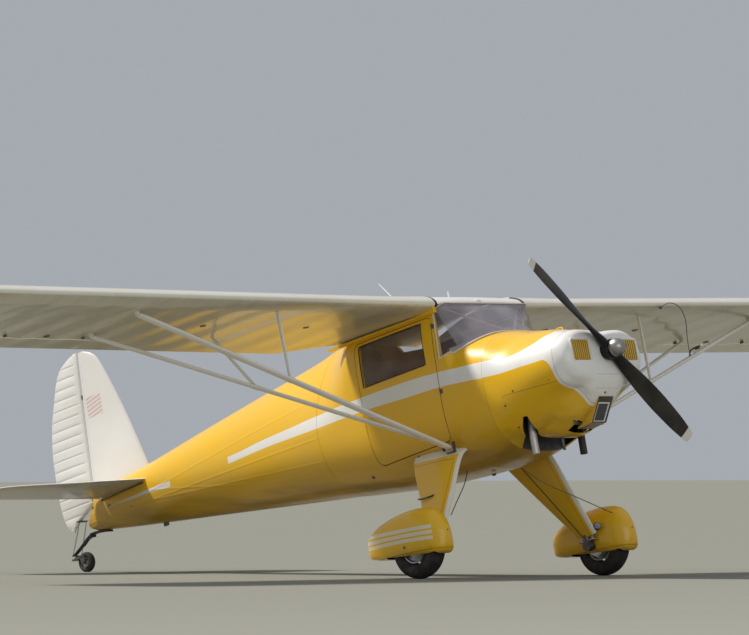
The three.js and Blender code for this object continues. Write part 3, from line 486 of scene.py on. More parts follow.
YELLOW = (0.85, 0.485, 0.010)
WHITE = (0.83, 0.81, 0.77)
CREAM = (0.78, 0.74, 0.62)
DUST = (0.35, 0.27, 0.16)
SEAM_LINE = (0.05, 0.035, 0.02)


def paint(name, slot, colour_of, relief_of=None, dust=0.16, waves=0.0016, roughness=0.24):
    """Gloss paint whose colour varies a little, with dust in patches and slight waves in the sheet.
    colour_of is a colour or draws one from the place; relief_of draws heights in metres from it."""
    finish = Finish(name, slot, IOR=1.45, Specular_IOR_Level=0.3, Coat_Weight=0.45, Coat_Roughness=0.10)
    x, y, z = finish.place()
    colour = colour_of(finish, x, y, z) if callable(colour_of) else colour_of
    colour = finish.mix(finish.noise(1.7, 3).rise(0.35, 0.7) * 0.12, colour, (0.5, 0.38, 0.2))
    grime = finish.noise(9, 6, 0.62)
    colour = finish.mix(grime.rise(0.56, 0.8) * dust, colour, DUST)
    finish.set(Base_Color=colour, Roughness=roughness + 0.16 * grime)
    height = finish.noise(2.6, 1) * waves + finish.noise(420, 1) * 0.00002
    if relief_of:
        height = height + relief_of(finish, x, y, z)
    return finish.bump(height, 1.0)


# The fuselage's side stripe, its upper and lower edge, then the same stripe on the cowling, where it flares
# out to the bowl. Columns: y, z
STRIPE_TOP = [
    (0.60, 0.106), (0.74, 0.121), (0.877, 0.132), (1.018, 0.142), (1.302, 0.162), (1.515, 0.174),
    (1.768, 0.180), (2.155, 0.183), (2.576, 0.187), (2.938, 0.179), (3.305, 0.172), (3.713, 0.158),
    (4.1, 0.158), (4.47, 0.168), (4.71, 0.172), (5.2, 0.170), (5.6, 0.166),
]
STRIPE_FOOT = [
    (0.60, -0.005), (0.676, -0.004), (0.959, 0.021), (1.328, 0.053), (1.639, 0.063), (1.987, 0.080),
    (2.281, 0.086), (2.581, 0.092), (2.945, 0.102), (3.316, 0.110), (3.724, 0.107), (4.1, 0.110),
    (4.48, 0.122), (4.71, 0.142), (4.95, 0.152), (5.2, 0.166), (5.6, 0.170),
]
STRIPE_BREAK = (3.718, 4.468)
FLARE_TOP = [
    (0.16, 0.50), (0.262, 0.50), (0.272, 0.30), (0.279, 0.235), (0.290, 0.205), (0.306, 0.194),
    (0.331, 0.183), (0.379, 0.153), (0.445, 0.129), (0.527, 0.110), (0.618, 0.105), (0.741, 0.121),
    (0.85, 0.130),
]
FLARE_FOOT = [
    (0.16, -0.70), (0.186, -0.70), (0.190, -0.40), (0.194, -0.206), (0.196, -0.11), (0.209, -0.057),
    (0.237, -0.022), (0.272, -0.008), (0.325, -0.008), (0.471, -0.006), (0.676, -0.004), (0.85, 0.010),
]
PAINT_EDGE = 0.0015


def stripe_mask(finish, y, z, top, foot):
    """1 between a stripe's two edges."""
    upper, lower = finish.curve(y, top), finish.curve(y, foot)
    return (upper - z).rise(-PAINT_EDGE, PAINT_EDGE) * (z - lower).rise(-PAINT_EDGE, PAINT_EDGE)


def fuselage_colour(finish, x, y, z):
    """Yellow with the broken side stripe, a band of painted shade under the tailplane's root, a seam at the
    stern, and painted shade and patches of grime darkening the belly.
    """
    gap = y.between(*STRIPE_BREAK, PAINT_EDGE)
    stripe = stripe_mask(finish, y, z, STRIPE_TOP, STRIPE_FOOT) * (1 - gap)
    colour = finish.mix(stripe, YELLOW, WHITE)
    # A near-black band painted on the cone just under the tailplane's root: painted shade where the
    # tailplane's underside meets the cone.
    slot = abs(z - 0.240).rise(0.009, 0.006) * y.between(4.80, 5.39, 0.01)
    seam = abs(y - 5.360).rise(0.0022, 0.0012) * z.between(0.083, 0.142, 0.002)
    colour = finish.mix(slot * 0.92, colour, (0.02, 0.018, 0.015))
    colour = finish.mix(seam * 0.7, colour, SEAM_LINE)
    # How far a place is above the belly, whose line rises aft, and more steeply aft of the cabin
    height = z + 0.576 - (y - 1.185) * 0.110 - (y - 2.60).high(0) * 0.050
    # Painted shade: the yellow is darkened towards the belly, where less light reaches the lower sides.
    colour = finish.mix(height.rise(0.42, 0.02) * 0.5, colour, (0.26, 0.14, 0.012))
    belly = height.rise(0.30, 0.02) * finish.noise(6, 4, stretch=(1, 0.15, 1)).rise(0.42, 0.7)
    return finish.mix(belly * 0.5, colour, (0.10, 0.06, 0.02))


def fuselage_relief(finish, x, y, z):
    """Stringers that show faintly through the covering aft of the cabin."""
    aft = y.rise(2.5, 2.75)
    run = (y - 2.6) * 0.052
    height = 0
    for start, slope in ((0.33, -1.6), (0.02, 0.6), (-0.16, 2.2), (-0.30, 4.2)):
        height = height + abs(z - start - run * slope).rise(0.014, 0) * 0.0011
    return height * aft


def cowl_colour(finish, x, y, z):
    """Yellow with the flared stripe, a panel's seam, the screws up its rear edge and soot underneath."""
    colour = finish.mix(stripe_mask(finish, y, z, FLARE_TOP, FLARE_FOOT), YELLOW, WHITE)
    seam_z = z + 0.170 + (PANEL_EDGE_Y - y) * 0.026
    panel = abs(seam_z).rise(0.0026, 0.0014) * y.between(0.195, PANEL_EDGE_Y, 0.003)
    along, up = y.wave(0.060, PANEL_EDGE_Y), z.wave(0.045)
    screws = (along * along + up * up).rise(0.000016, 0.000008)
    screws = screws * abs(y - PANEL_EDGE_Y).rise(0.012, 0.008) * z.between(-0.44, -0.17, 0.002)
    colour = finish.mix(panel.high(screws) * 0.6, colour, SEAM_LINE)
    soot = (z + 0.30).rise(0, -0.12) * finish.noise(7, 5, stretch=(1, 0.3, 1)).rise(0.4, 0.75)
    return finish.mix(soot * 0.5, colour, (0.06, 0.045, 0.03))


def bowl_colour(finish, x, y, z):
    """White, with the chin's two sheet edges and a worn, yellowed foot."""
    chin = abs(x).rise(0.125, 0.115) * y.rise(0.150, 0.140)
    edges = abs(z + 0.167).rise(0.0028, 0.0012).high(abs(z + 0.262).rise(0.0024, 0.001))
    colour = finish.mix(edges * chin * 0.45, WHITE, (0.22, 0.20, 0.16))
    worn = z.rise(-0.18, -0.34) * finish.noise(16, 5).rise(0.40, 0.7)
    return finish.mix(worn * 0.25, colour, (0.45, 0.33, 0.14))


def rib_places(x):
    """The distance to the nearest rib."""
    return abs(x).wave(RIB_PITCH, RIB_START)


def wing_colour(finish, x, y, z):
    """Cream, whiter over the ribs and yellowed in patches."""
    tape = rib_places(x).rise(0.013, 0.011)
    colour = finish.mix(tape * 0.5, CREAM, WHITE)
    return finish.mix(finish.noise(0.9, 3).rise(0.45, 0.7) * 0.3, colour, (0.72, 0.66, 0.50))


def wing_under_shade_colour(finish, x, y, z):
    """The wing's underside: painted shade, tinted olive as a painted reflection of the ground below, darker
    still in streaks along the chord.
    """
    streaks = finish.noise(5, 4, stretch=(1, 0.12, 1)).rise(0.4, 0.75)
    return finish.mix(0.34 + 0.22 * streaks, wing_colour(finish, x, y, z), (0.27, 0.235, 0.12))


def wing_relief(finish, x, y, z):
    """Tapes over the ribs and along the front spar."""
    rib = rib_places(x).rise(0.0135, 0.0125)
    spar = abs(y - 1.385).rise(0.019, 0.018)
    return rib.high(spar) * 0.0004 + rib_places(x).rise(0.003, 0) * 0.0005


def rudder_hinge_y(z):
    return 5.548 - 0.078 * z


def fin_colour(finish, x, y, z):
    """White with a faint line before the hinge and a small patch of faded bars."""
    hinge = abs(y - (5.520 - 0.078 * z)).rise(0.010, 0.004)
    colour = finish.mix(hinge * 0.22, WHITE, (0.50, 0.60, 0.72))
    low, high = FIN_PATCH["y"], FIN_PATCH["z"]
    patch = y.between(*low, 0.004) * z.between(*high, 0.004)
    run = z + (y - low[0]) * 0.20
    bars = run.wave(0.030, high[0]).rise(0.009, 0.007)
    faded = finish.mix(bars, (0.80, 0.76, 0.74), (0.62, 0.38, 0.36))
    return finish.mix(patch * (0.55 + 0.3 * finish.noise(14, 3)), colour, faded)


def beaded_colour(along, first):
    """White with a dark grey-blue line of painted shade in each crimped bead, for the rudder (along 2) and
    the elevator (along 0).
    """
    def colour(finish, x, y, z):
        # The bead's line is painted shade in the crimp.
        bead = abs((x, y, z)[along]).wave(BEAD["pitch"], first).rise(0.0048, 0.0012)
        behind = y - (rudder_hinge_y(z) if along == 2 else ELEVATOR_Y)
        bead = bead * behind.rise(BEAD["start"] - 0.006, BEAD["start"] + 0.006)
        return finish.mix(bead * 0.55, WHITE, (0.34, 0.38, 0.44))
    return colour


def leg_colour(finish, x, y, z):
    """Yellow with a white leading edge and a thin white border at the top."""
    front, rear = finish.curve(z, LEG_FRONT), finish.curve(z, LEG_REAR)
    behind, ahead = y - front, rear - y
    below = finish.curve(y, LEG_TOP) - z
    edge = behind.rise(0.027, 0.025).high(below.rise(0.019, 0.017)).high(ahead.rise(0.010, 0.008))
    line = abs(behind - 0.052).rise(0.004, 0.002) * below.rise(0.045, 0.047)
    line = line.high(abs(below - 0.046).rise(0.004, 0.002) * behind.rise(0.050, 0.052))
    colour = finish.mix(line * 0.6, YELLOW, (0.30, 0.13, 0.005))
    colour = finish.mix(edge, colour, (0.80, 0.76, 0.64))
    inner = (finish.curve(z, LEG_MIDDLE) - abs(x)).rise(-0.002, 0.004)
    gap = abs(ahead - 0.33 * (rear - front)).rise(0.007, 0.005)
    return finish.mix(gap * inner, colour, (0.025, 0.016, 0.008))


def fairing_colour(finish, x, y, z):
    """Yellow with three stripes on the outer side, a seam, a pale lip at the foot and mud below."""
    outer = (abs(x) - HALF_TRACK).rise(0.02, 0.03)
    stripes = 0
    for line in FAIRING_STRIPES:
        off = abs(z - finish.curve(y, line))
        stripes = off.rise(0.0135, 0.0120).high(stripes)
    ends = y.between(FAIRING_STRIPES[0][0][0], FAIRING_STRIPES[0][-1][0], 0.002)
    colour = finish.mix(stripes * ends * outer, YELLOW, (0.80, 0.72, 0.52))
    seam = abs(z - finish.curve(y, FAIRING_SEAM)).rise(0.0025, 0.0012)
    colour = finish.mix(seam * 0.8, colour, SEAM_LINE)
    lip = (z - finish.curve(y, FAIRING_FOOT)).rise(0.011, 0.009) * y.between(1.06, 1.60, 0.01)
    colour = finish.mix(lip * 0.7, colour, (0.80, 0.70, 0.46))
    mud = (z + 1.08).rise(0, -0.16) * finish.noise(14, 6, 0.7).rise(0.42, 0.75)
    return finish.mix(mud * 0.5, colour, (0.16, 0.11, 0.06))


def blade_colour(finish, x, y, z):
    """Black, pale at the tips and worn towards them."""
    radius = (x * x + z * z).sum("SQRT")
    tip = radius.rise(0.876, 0.880)
    worn = radius.rise(0.35, 0.93) * finish.noise(60, 4, 0.7).rise(0.60, 0.68)
    colour = finish.mix(tip, (0.005, 0.006, 0.008), (0.70, 0.66, 0.58))
    return finish.mix(worn * 0.4, colour, (0.12, 0.115, 0.11))


def metal(name, slot, base, roughness=0.32, stain=(0.10, 0.08, 0.06), stained=0.5, metallic=1.0):
    """Bare or plated metal with stains and fine scratches."""
    finish = Finish(name, slot, Metallic=metallic)
    grime = finish.noise(24, 6, 0.65)
    colour = finish.mix(grime.rise(0.48, 0.78) * stained, base, stain)
    finish.set(Base_Color=colour, Roughness=roughness + 0.25 * grime.rise(0.4, 0.8))
    return finish.bump(finish.noise(90, 3) * 0.0002 + finish.noise(700, 1) * 0.00003, 1.0)


def matt(name, slot, base, other, scale=60, roughness=0.85, grain=0.0003, share=0.5):
    """Rubber, cloth or primer: no gloss, two tones and a grain."""
    finish = Finish(name, slot, Roughness=roughness, Specular_IOR_Level=0.35)
    colour = finish.mix(finish.noise(scale / 6, 5, 0.6).rise(0.4, 0.75) * share, base, other)
    finish.set(Base_Color=colour)
    return finish.bump(finish.noise(scale * 8, 2) * grain, 1.0)


def clear(name, base, alpha, cloud, roughness=0.06):
    """A clear sheet: thin enough to see through, a little more hazy in patches."""
    finish = Finish(name, "clear_sheet", IOR=1.5, Coat_Weight=1.0, Coat_Roughness=0.03)
    haze = finish.noise(5, 5, 0.6)
    finish.set(
        Base_Color=finish.mix(haze.rise(0.4, 0.7) * 0.5, base, tuple(min(1, 1.35 * c) for c in base)),
        Roughness=roughness + 0.1 * haze, Alpha=alpha + cloud * haze.rise(0.3, 0.8),
    )
    return finish.bump(finish.noise(3, 1) * 0.0015, 1.0)


def wire_mesh():
    """A fine dark wire mesh."""
    finish = Finish("wire_mesh", "black_paint", Roughness=0.5)
    x, _, z = finish.place()
    wire = x.wave(0.006).rise(0.0014, 0.0008).high((z * 1.22).wave(0.006).rise(0.0014, 0.0008))
    finish.set(Base_Color=finish.mix(wire, (0.008, 0.008, 0.008), (0.10, 0.10, 0.105)))
    return finish


def screen_haze_and_reflection():
    """The windscreen's sheet: clouded and mauve-grey in front of the line where it folds, partly haze and
    partly a painted reflection of the sky, clearer behind it.
    """
    finish = Finish("screen_haze_and_reflection", "clear_sheet", IOR=1.5, Coat_Weight=1.0, Coat_Roughness=0.03)
    _, y, z = finish.place()
    fold = y - (SCREEN_FOLD["y"] - (SCREEN_FOLD["z"] - z) * SCREEN_FOLD["lean"])
    front = fold.rise(0.006, -0.010)
    haze = finish.noise(3.2, 4, 0.55)
    cloud = front * (0.30 + 0.24 * haze.rise(0.3, 0.75)) + 0.08
    colour = finish.mix(haze.rise(0.4, 0.7) * 0.4, (0.36, 0.33, 0.37), (0.52, 0.48, 0.50))
    finish.set(Base_Color=colour, Roughness=0.10 + 0.12 * haze, Alpha=cloud)
    return finish.bump(finish.noise(3, 1) * 0.0008, 1.0)


SILL_Z, SCREEN_FOOT_SLOPE, POST_Y = 0.250, -0.38, 1.185
SCREEN_FOLD = {"y": 1.170, "z": 0.555, "lean": 0.366}
PANEL_EDGE_Y, ELEVATOR_Y = 0.684, 5.370
RIB_PITCH, RIB_START = 0.340, 0.620
BEAD = {"pitch": 0.0755, "half": 0.010, "depth": 0.0028, "start": 0.050}
FIRST_BEAD = {"rudder": 0.130, "elevator": 0.170}
FIN_PATCH = {"y": (5.25, 5.425), "z": (0.90, 1.06)}
HALF_TRACK = 0.967
LEG_FRONT = [(-1.07, 1.205), (-0.758, 1.197), (-0.452, 1.190), (-0.40, 1.188)]
LEG_TOP = [(1.15, -0.440), (1.20, -0.440), (1.40, -0.425), (1.72, -0.395)]
LEG_MIDDLE = [(-1.062, 0.802), (-0.755, 0.628), (-0.42, 0.440), (-0.37, 0.380)]
LEG_REAR = [(-1.07, 1.392), (-0.755, 1.535), (-0.42, 1.700), (-0.33, 1.716)]
FAIRING_STRIPES = [
    [(1.068, -1.033), (1.38, -0.998), (1.760, -0.957)],
    [(1.068, -1.073), (1.38, -1.037), (1.760, -1.000)],
    [(1.068, -1.114), (1.38, -1.075), (1.760, -1.038)],
]
FAIRING_FOOT = [
    (1.036, -1.228), (1.115, -1.231), (1.20, -1.218), (1.30, -1.201), (1.45, -1.178), (1.60, -1.155),
]
FAIRING_SEAM = [(0.98, -1.206), (1.25, -1.178), (1.83, -1.127)]

FUSELAGE_PAINT = paint("fuselage_paint", "yellow_paint", fuselage_colour, fuselage_relief)
COWL_PAINT = paint("cowl_paint", "yellow_paint", cowl_colour)
BOWL_PAINT = paint("bowl_paint", "white_paint", bowl_colour, dust=0.08)
WHITE_PAINT = paint("white_paint", "white_paint", WHITE, dust=0.10)
WING_PAINT = paint("wing_paint", "cream_fabric", wing_colour, wing_relief, dust=0.12, waves=0, roughness=0.3)
# The underside's paint carries painted shade and a painted olive ground reflection.
WING_UNDER_SHADED = paint("wing_under_shaded", "cream_fabric", wing_under_shade_colour, wing_relief, waves=0,
                         roughness=0.3)
WING_UNDER_SHADED.set(Coat_Weight=0.8, Coat_Roughness=0.12)
WING_PAINT.set(Coat_Weight=1.0, Coat_Roughness=0.09)
# The faces of the tailplane and elevator that look down: white darkened as painted shade, with dust.
SHADED_DUSTY_WHITE = paint("shaded_dusty_white", "white_paint", (0.46, 0.42, 0.33), dust=0.3)
FIN_PAINT = paint("fin_paint", "white_paint", fin_colour, dust=0.08)
RUDDER_PAINT = paint("rudder_paint", "white_paint", beaded_colour(2, FIRST_BEAD["rudder"]), dust=0.08)
ELEVATOR_PAINT = paint("elevator_paint", "white_paint", beaded_colour(0, FIRST_BEAD["elevator"]), dust=0.08)
STRUT_PAINT = paint("strut_finish", "strut_paint", (0.82, 0.79, 0.71))
LEG_PAINT = paint("leg_paint", "yellow_paint", leg_colour)
FAIRING_PAINT = paint("fairing_paint", "yellow_paint", fairing_colour)
PROP_PAINT = paint("blade_paint", "black_paint", blade_colour, dust=0.04, waves=0, roughness=0.36)
PROP_PAINT.set(Coat_Weight=0.05, Specular_IOR_Level=0.3)
INTAKE_PAINT = paint("intake_paint", "black_paint", (0.012, 0.012, 0.013), dust=0.25)
SPINNER_METAL = metal("spinner_metal", "bare_metal", (0.40, 0.38, 0.36), 0.34, stained=0.45)
EXHAUST_METAL = metal("exhaust_metal", "bare_metal", (0.60, 0.56, 0.52), 0.45, (0.16, 0.10, 0.07), 0.6, 0.6)
# The left exhaust pipe's metal: the same pipe as the right one, painted near-black as painted shade, with
# stains.
SHADED_EXHAUST_METAL = metal("shaded_exhaust_metal", "bare_metal", (0.060, 0.056, 0.052), 0.55, (0.03, 0.02, 0.015), 0.6, 0.5)
FITTING_STEEL = metal("fitting_steel", "dark_steel", (0.16, 0.155, 0.15), 0.45, (0.09, 0.05, 0.03), 0.6)
SPRING_STEEL = metal("spring_steel", "dark_steel", (0.020, 0.020, 0.022), 0.40, (0.09, 0.06, 0.04), 0.4, 0.4)
WHEEL_METAL = metal("wheel_metal", "bare_metal", (0.55, 0.55, 0.54), 0.38, stained=0.7)
TYRE_RUBBER = matt("tyre_finish", "tyre_rubber", (0.022, 0.021, 0.020), (0.11, 0.09, 0.07), 70, 0.82)
LINING = matt("lining", "yellow_paint", (0.34, 0.185, 0.085), (0.24, 0.14, 0.07), 90, 0.9)
RUBBER = matt("rubber", "black_paint", (0.015, 0.014, 0.014), (0.03, 0.028, 0.026), 60, 0.6)
TRIM_PAINT = paint("trim_paint", "white_paint", (0.66, 0.56, 0.50), waves=0)
CLEAN_WHITE = paint("clean_white", "white_paint", (0.86, 0.86, 0.85), dust=0.05, waves=0)
BAR_YELLOW = paint("bar_yellow", "yellow_paint", (0.72, 0.46, 0.07), waves=0)
# Near-black matt paint inside the nose, the tail cone and the wheel fairings: painted shade for the dark
# inside them.
SHADED_INSIDE = matt("shaded_inside", "black_paint", (0.010, 0.009, 0.008), (0.018, 0.016, 0.012), 40, 0.9)
SIDE_GLASS = clear("side_glass", (0.36, 0.24, 0.15), 0.14, 0.12)
SCREEN_HAZE_AND_REFLECTION = screen_haze_and_reflection()
SEAT_CLOTH = matt("seat_cloth", "trim_cloth", (0.14, 0.075, 0.040), (0.20, 0.12, 0.07), 120, 0.92, 0.0006)
PIPING = matt("seat_piping", "trim_cloth", (0.075, 0.040, 0.022), (0.11, 0.07, 0.04), 120, 0.8)
PANEL_FINISH = matt("panel_finish", "black_paint", (0.020, 0.020, 0.022), (0.035, 0.034, 0.033), 50, 0.6)
ENGINE_FINISH = metal("engine_finish", "engine_casting", (0.25, 0.245, 0.24), 0.5, (0.05, 0.04, 0.03), 0.7,
                      0.5)
FLOOR_FINISH = matt("floor_finish", "trim_cloth", (0.060, 0.052, 0.045), (0.10, 0.085, 0.065), 90, 0.9)
MESH_FINISH = wire_mesh()
TUBE_PAINT = paint("tube_paint", "strut_paint", (0.86, 0.68, 0.64))


# The camera, the floor and the lights

def linked(name, data, matrix):
    """A new object of the scene, at its place."""
    thing = bpy.data.objects.new(name, data)
    thing.matrix_world = matrix
    bpy.context.scene.collection.objects.link(thing)
    return thing


def add_camera():
    camera = bpy.data.cameras.new("camera")
    camera.sensor_width = SENSOR
    camera.lens = FOCAL_PIXELS * SENSOR / IMAGE_WIDTH
    camera.clip_end = 400
    turn = Matrix((RIGHT, RIGHT.cross(VIEW), -VIEW)).transposed()
    bpy.context.scene.camera = linked("camera", camera, Matrix.Translation(EYE) @ turn.to_4x4())


# The key light comes from behind and to the right, high, so the wing's shadow falls along the cabin. A wide
# soft card, ahead and to the right, lifts the shadows.
KEY_FROM = Vector((-0.35, 0.685, 0.857))
CARD_PLACE, CARD_TARGET = Vector((-13, -29, 11)), Vector((0, -2, 1))
FLOOR_TONES = (0.245, 0.240, 0.200), (0.255, 0.250, 0.210)


def facing(direction):
    return direction.to_track_quat("Z", "Y").to_matrix().to_4x4()


def add_studio():
    floor_finish = Finish("studio_floor", None, Roughness=0.9, Specular_IOR_Level=0.2)
    floor_finish.set(Base_Color=floor_finish.mix(floor_finish.noise(0.6, 2), *FLOOR_TONES))
    bm = bmesh.new()
    bmesh.ops.create_circle(bm, cap_ends=True, radius=160, segments=96)
    mesh = bpy.data.meshes.new("studio_floor")
    bm.to_mesh(mesh)
    bm.free()
    mesh.materials.append(floor_finish.material)
    linked("studio_floor", mesh, Matrix())

    world = bpy.data.worlds.new("studio")
    world.use_nodes = True
    sky = world.node_tree.nodes["Background"].inputs
    sky["Color"].default_value = (0.86, 0.92, 1, 1)
    sky["Strength"].default_value = 0.44
    bpy.context.scene.world = world
    lamp = bpy.data.lights.new("key", "SUN")
    lamp.energy = 4.0
    lamp.angle = math.radians(7)
    lamp.color = (1, 0.965, 0.91)
    linked("key", lamp, facing(KEY_FROM))
    fill = bpy.data.lights.new("fill", "AREA")
    fill.shape, fill.size, fill.size_y = "RECTANGLE", 26, 14
    fill.energy = 1500
    fill.color = (0.95, 0.97, 1)
    linked("fill", fill, Matrix.Translation(CARD_PLACE) @ facing(CARD_PLACE - CARD_TARGET))
    bpy.context.scene.view_settings.view_transform = "Standard"


# The fuselage, a round-cornered tube. Tables are in millimetres.
# Columns: y, half width, top z, z of the widest line, bottom z, upper squareness, lower squareness
CABIN = [
    [1185, 504, 735, 0, -576, 5.2, 2.7],
    [1500, 506, 745, 10, -556, 5.2, 2.7],
    [2120, 492, 735, 30, -500, 5.0, 2.6],
    [2300, 478, 738, 40, -472, 2.6, 2.5],
    [2450, 466, 736, 50, -448, 1.75, 2.4],
    [2620, 448, 722, 60, -420, 1.5, 2.3],
]
TAIL_CONE = [
    [2620, 448, 722, 60, -420, 1.5, 2.3],
    [2800, 430, 682, 70, -388, 1.55, 2.3],
    [3050, 402, 640, 80, -350, 1.7, 2.2],
    [3550, 340, 572, 105, -272, 1.9, 2.1],
    [4250, 248, 478, 145, -162, 2.0, 2.0],
    [4870, 165, 396, 175, -66, 2.0, 2.0],
    [5250, 105, 358, 185, -4, 2.0, 2.0],
    [5512, 40, 330, 190, 44, 2.0, 2.0],
]
SCUTTLE = [
    [830, 497, 366, -20, -542, 2.3, 2.7],
    [1000, 502, 405, -10, -568, 2.5, 2.7],
    [1110, 503, 440, -4, -573, 2.6, 2.7],
    [1185, 504, 735, 0, -576, 5.2, 2.7],
]
AFT_SKIN = reading(CABIN + TAIL_CONE[1:])
SCUTTLE_SKIN = reading(SCUTTLE)
FIREWALL_Y, CONE_Y, STERN_Y = 0.830, 2.620, 5.512
SHELL_WALL, DOOR_WALL, CONE_WALL = 0.014, 0.026, 0.010
CLEAR_SHEET, PANE_INSET, SHELL_GAP = 0.004, 0.010, 0.0015
ROOF_Z, ROOF_CUT_Y = 0.600, 2.330
HALF_RING = 61

# Side-view outlines of the doors, the front edge leaning forward towards the top
DOOR = {
    "top": 0.576, "bottom": -0.340, "front_top": 1.242, "front_bottom": 1.276, "rear": 2.066, "corner": 0.050,
}
WINDOW = {
    "top": 0.552, "bottom": 0.245, "front_top": 1.350, "front_bottom": 1.352, "rear": 2.022, "corner": 0.020,
}
DOOR_GAP = 0.006
# Above the sill the shell begins at POST_FRONT_Y, behind the windscreen's rear edges. Between the two places
# of DECK_CUT_Y the deck's skin ends at the plane of the windscreen's foot. Inside the foot the deck is open,
# and at its rear DECK_OPEN_X wide to each side.
POST_FRONT_Y = 1.2255
DECK_CUT_Y, DECK_OPEN_X = (1.112, 1.30), 0.455


def screen_foot_z(y):
    """A sloping plane's height. The windscreen's foot is on it, or on the nose's skin where that is lower."""
    return SILL_Z + SCREEN_FOOT_SLOPE * (y - POST_Y)


def half_oval(row, inset=0.0, count=HALF_RING):
    """Half a fuselage section as [x, z], from its top round to its bottom, at even steps."""
    half_width, top, middle, bottom, upper, lower = row * [MM, MM, MM, MM, 1, 1]
    turn = np.linspace(math.pi / 2, -math.pi / 2, 721)
    high = turn > 0
    power = 2 / np.where(high, upper, lower)
    reach = np.where(high, top - middle, middle - bottom) - inset
    x = (half_width - inset) * np.abs(np.cos(turn)) ** power
    z = middle + reach * np.sign(turn) * np.abs(np.sin(turn)) ** power
    return spread(np.stack([x, z], axis=1), count)


def ring(half, y):
    """A whole section at y from a half one, from the top centre round and back to it."""
    return [(x, y, z) for x, z in half] + [(-x, y, z) for x, z in half[-2::-1]]


def hull(section, low, high, step=0.05, inset=0.0, close_ends=False):
    """The fuselage's skin between two places along it."""
    places = np.linspace(low, high, max(2, round((high - low) / step) + 1))
    return skin([ring(half_oval(section(y / MM), inset), y) for y in places], close_ends)


def side_outline(shape, grow=0.0):
    """The corners of a door or window in side view, [y, z]."""
    return [
        (shape["front_top"] - grow, shape["top"] + grow),
        (shape["front_bottom"] - grow, shape["bottom"] - grow),
        (shape["rear"] + grow, shape["bottom"] - grow),
        (shape["rear"] + grow, shape["top"] + grow),
    ]


def side_cutter(shape, s, grow=0.0):
    bm = slab(side_outline(shape, grow), 0, 0.25, 0.70, radius=shape["corner"] + max(grow, 0))
    return on_side(s, bm)


def inside_face(face):
    """1 on the faces that look into the fuselage, 0 on the others."""
    middle = face.calc_center_median()
    return int(face.normal.dot(Vector((middle.x, 0, middle.z - 0.05))) < -0.002)


def add_cabin():
    shell = walled(hull(AFT_SKIN, POST_Y, CONE_Y - SHELL_GAP, 0.03), SHELL_WALL)
    roof_cut = block((-0.7, 1.0, ROOF_Z), (0.7, ROOF_CUT_Y, 0.9))
    beside_screen = block((-0.7, 1.1, SILL_Z - 0.004), (0.7, POST_FRONT_Y, 0.9))
    shell = carved(shell, [roof_cut, beside_screen, *(side_cutter(DOOR, s, DOOR_GAP) for _, s in SIDES)])

    deck = walled(hull(SCUTTLE_SKIN, FIREWALL_Y + SHELL_GAP, POST_Y, 0.02), SHELL_WALL)
    front, rear = DECK_CUT_Y
    over_foot = [(front, screen_foot_z(front)), (rear, screen_foot_z(rear)), (rear, 0.9), (front, 0.9)]
    foot, _ = screen_lines()
    opening = [(x * 0.978, y + 0.010) for x, y, _ in foot[2:-2]] + [(DECK_OPEN_X, rear), (-DECK_OPEN_X, rear)]
    deck = carved(deck, [slab(over_foot, 0, -0.7, 0.7), slab(opening, 2, 0.10, 0.9)])
    firewall = hull(SCUTTLE_SKIN, FIREWALL_Y + SHELL_GAP, FIREWALL_Y + 0.009, inset=0.006, close_ends=True)
    make("cabin_skin", joined([shell, deck]), [FUSELAGE_PAINT, LINING],
         stands_for=["cabin_shell"], material_of=inside_face)
    make("firewall_sheet", firewall, FITTING_STEEL)

    for word, s in SIDES:
        leaf = walled(hull(AFT_SKIN, 1.15, 2.20, 0.03), DOOR_WALL)
        leaf = carved(leaf, [side_cutter(DOOR, s)], "INTERSECT")
        leaf = carved(leaf, [side_cutter(WINDOW, s)])
        make(f"door_{word}_leaf", leaf, [FUSELAGE_PAINT, LINING], f"door_{word}",
             [f"door_{word}"], material_of=inside_face)
        pane = walled(hull(AFT_SKIN, 1.25, 2.10, 0.03, inset=PANE_INSET), CLEAR_SHEET)
        pane = carved(pane, [side_cutter(WINDOW, s, -0.001)], "INTERSECT")
        make(f"door_{word}_pane", pane, SIDE_GLASS, f"door_{word}", [f"door_window_{word}"])


# The stern's rear edge behind the cone: z, y
STERN_POST = [(0.044, 5.530), (0.052, 5.545), (0.084, 5.612), (0.116, 5.627), (0.160, 5.602), (0.200, 5.572),
              (0.236, 5.532), (0.260, 5.5175), (0.330, 5.5165)]


def add_tail_cone():
    shell = walled(hull(AFT_SKIN, CONE_Y + 0.001, STERN_Y, 0.05), CONE_WALL)
    across = [rod((-0.2, y, STAB_Z), (0.2, y, STAB_Z), radius) for y, radius in CONE_HOLES]
    make("tail_cone_skin", carved(shell, across), [FUSELAGE_PAINT, SHADED_INSIDE],
         stands_for=["tail_cone"], material_of=inside_face)
    half = half_oval(AFT_SKIN(STERN_Y / MM), 0.001)
    heights, reach = zip(*STERN_POST)
    edge = [(x * 0.28, np.interp(z, heights, reach), z) for x, z in half]
    mouth = [(x, STERN_Y + 0.0006, z) for x, z in half]
    rows = [line + [(-x, y, z) for x, y, z in line[-2::-1]] for line in (mouth, edge)]
    make("stern_post", skin(rows, close_ends=True), FUSELAGE_PAINT)


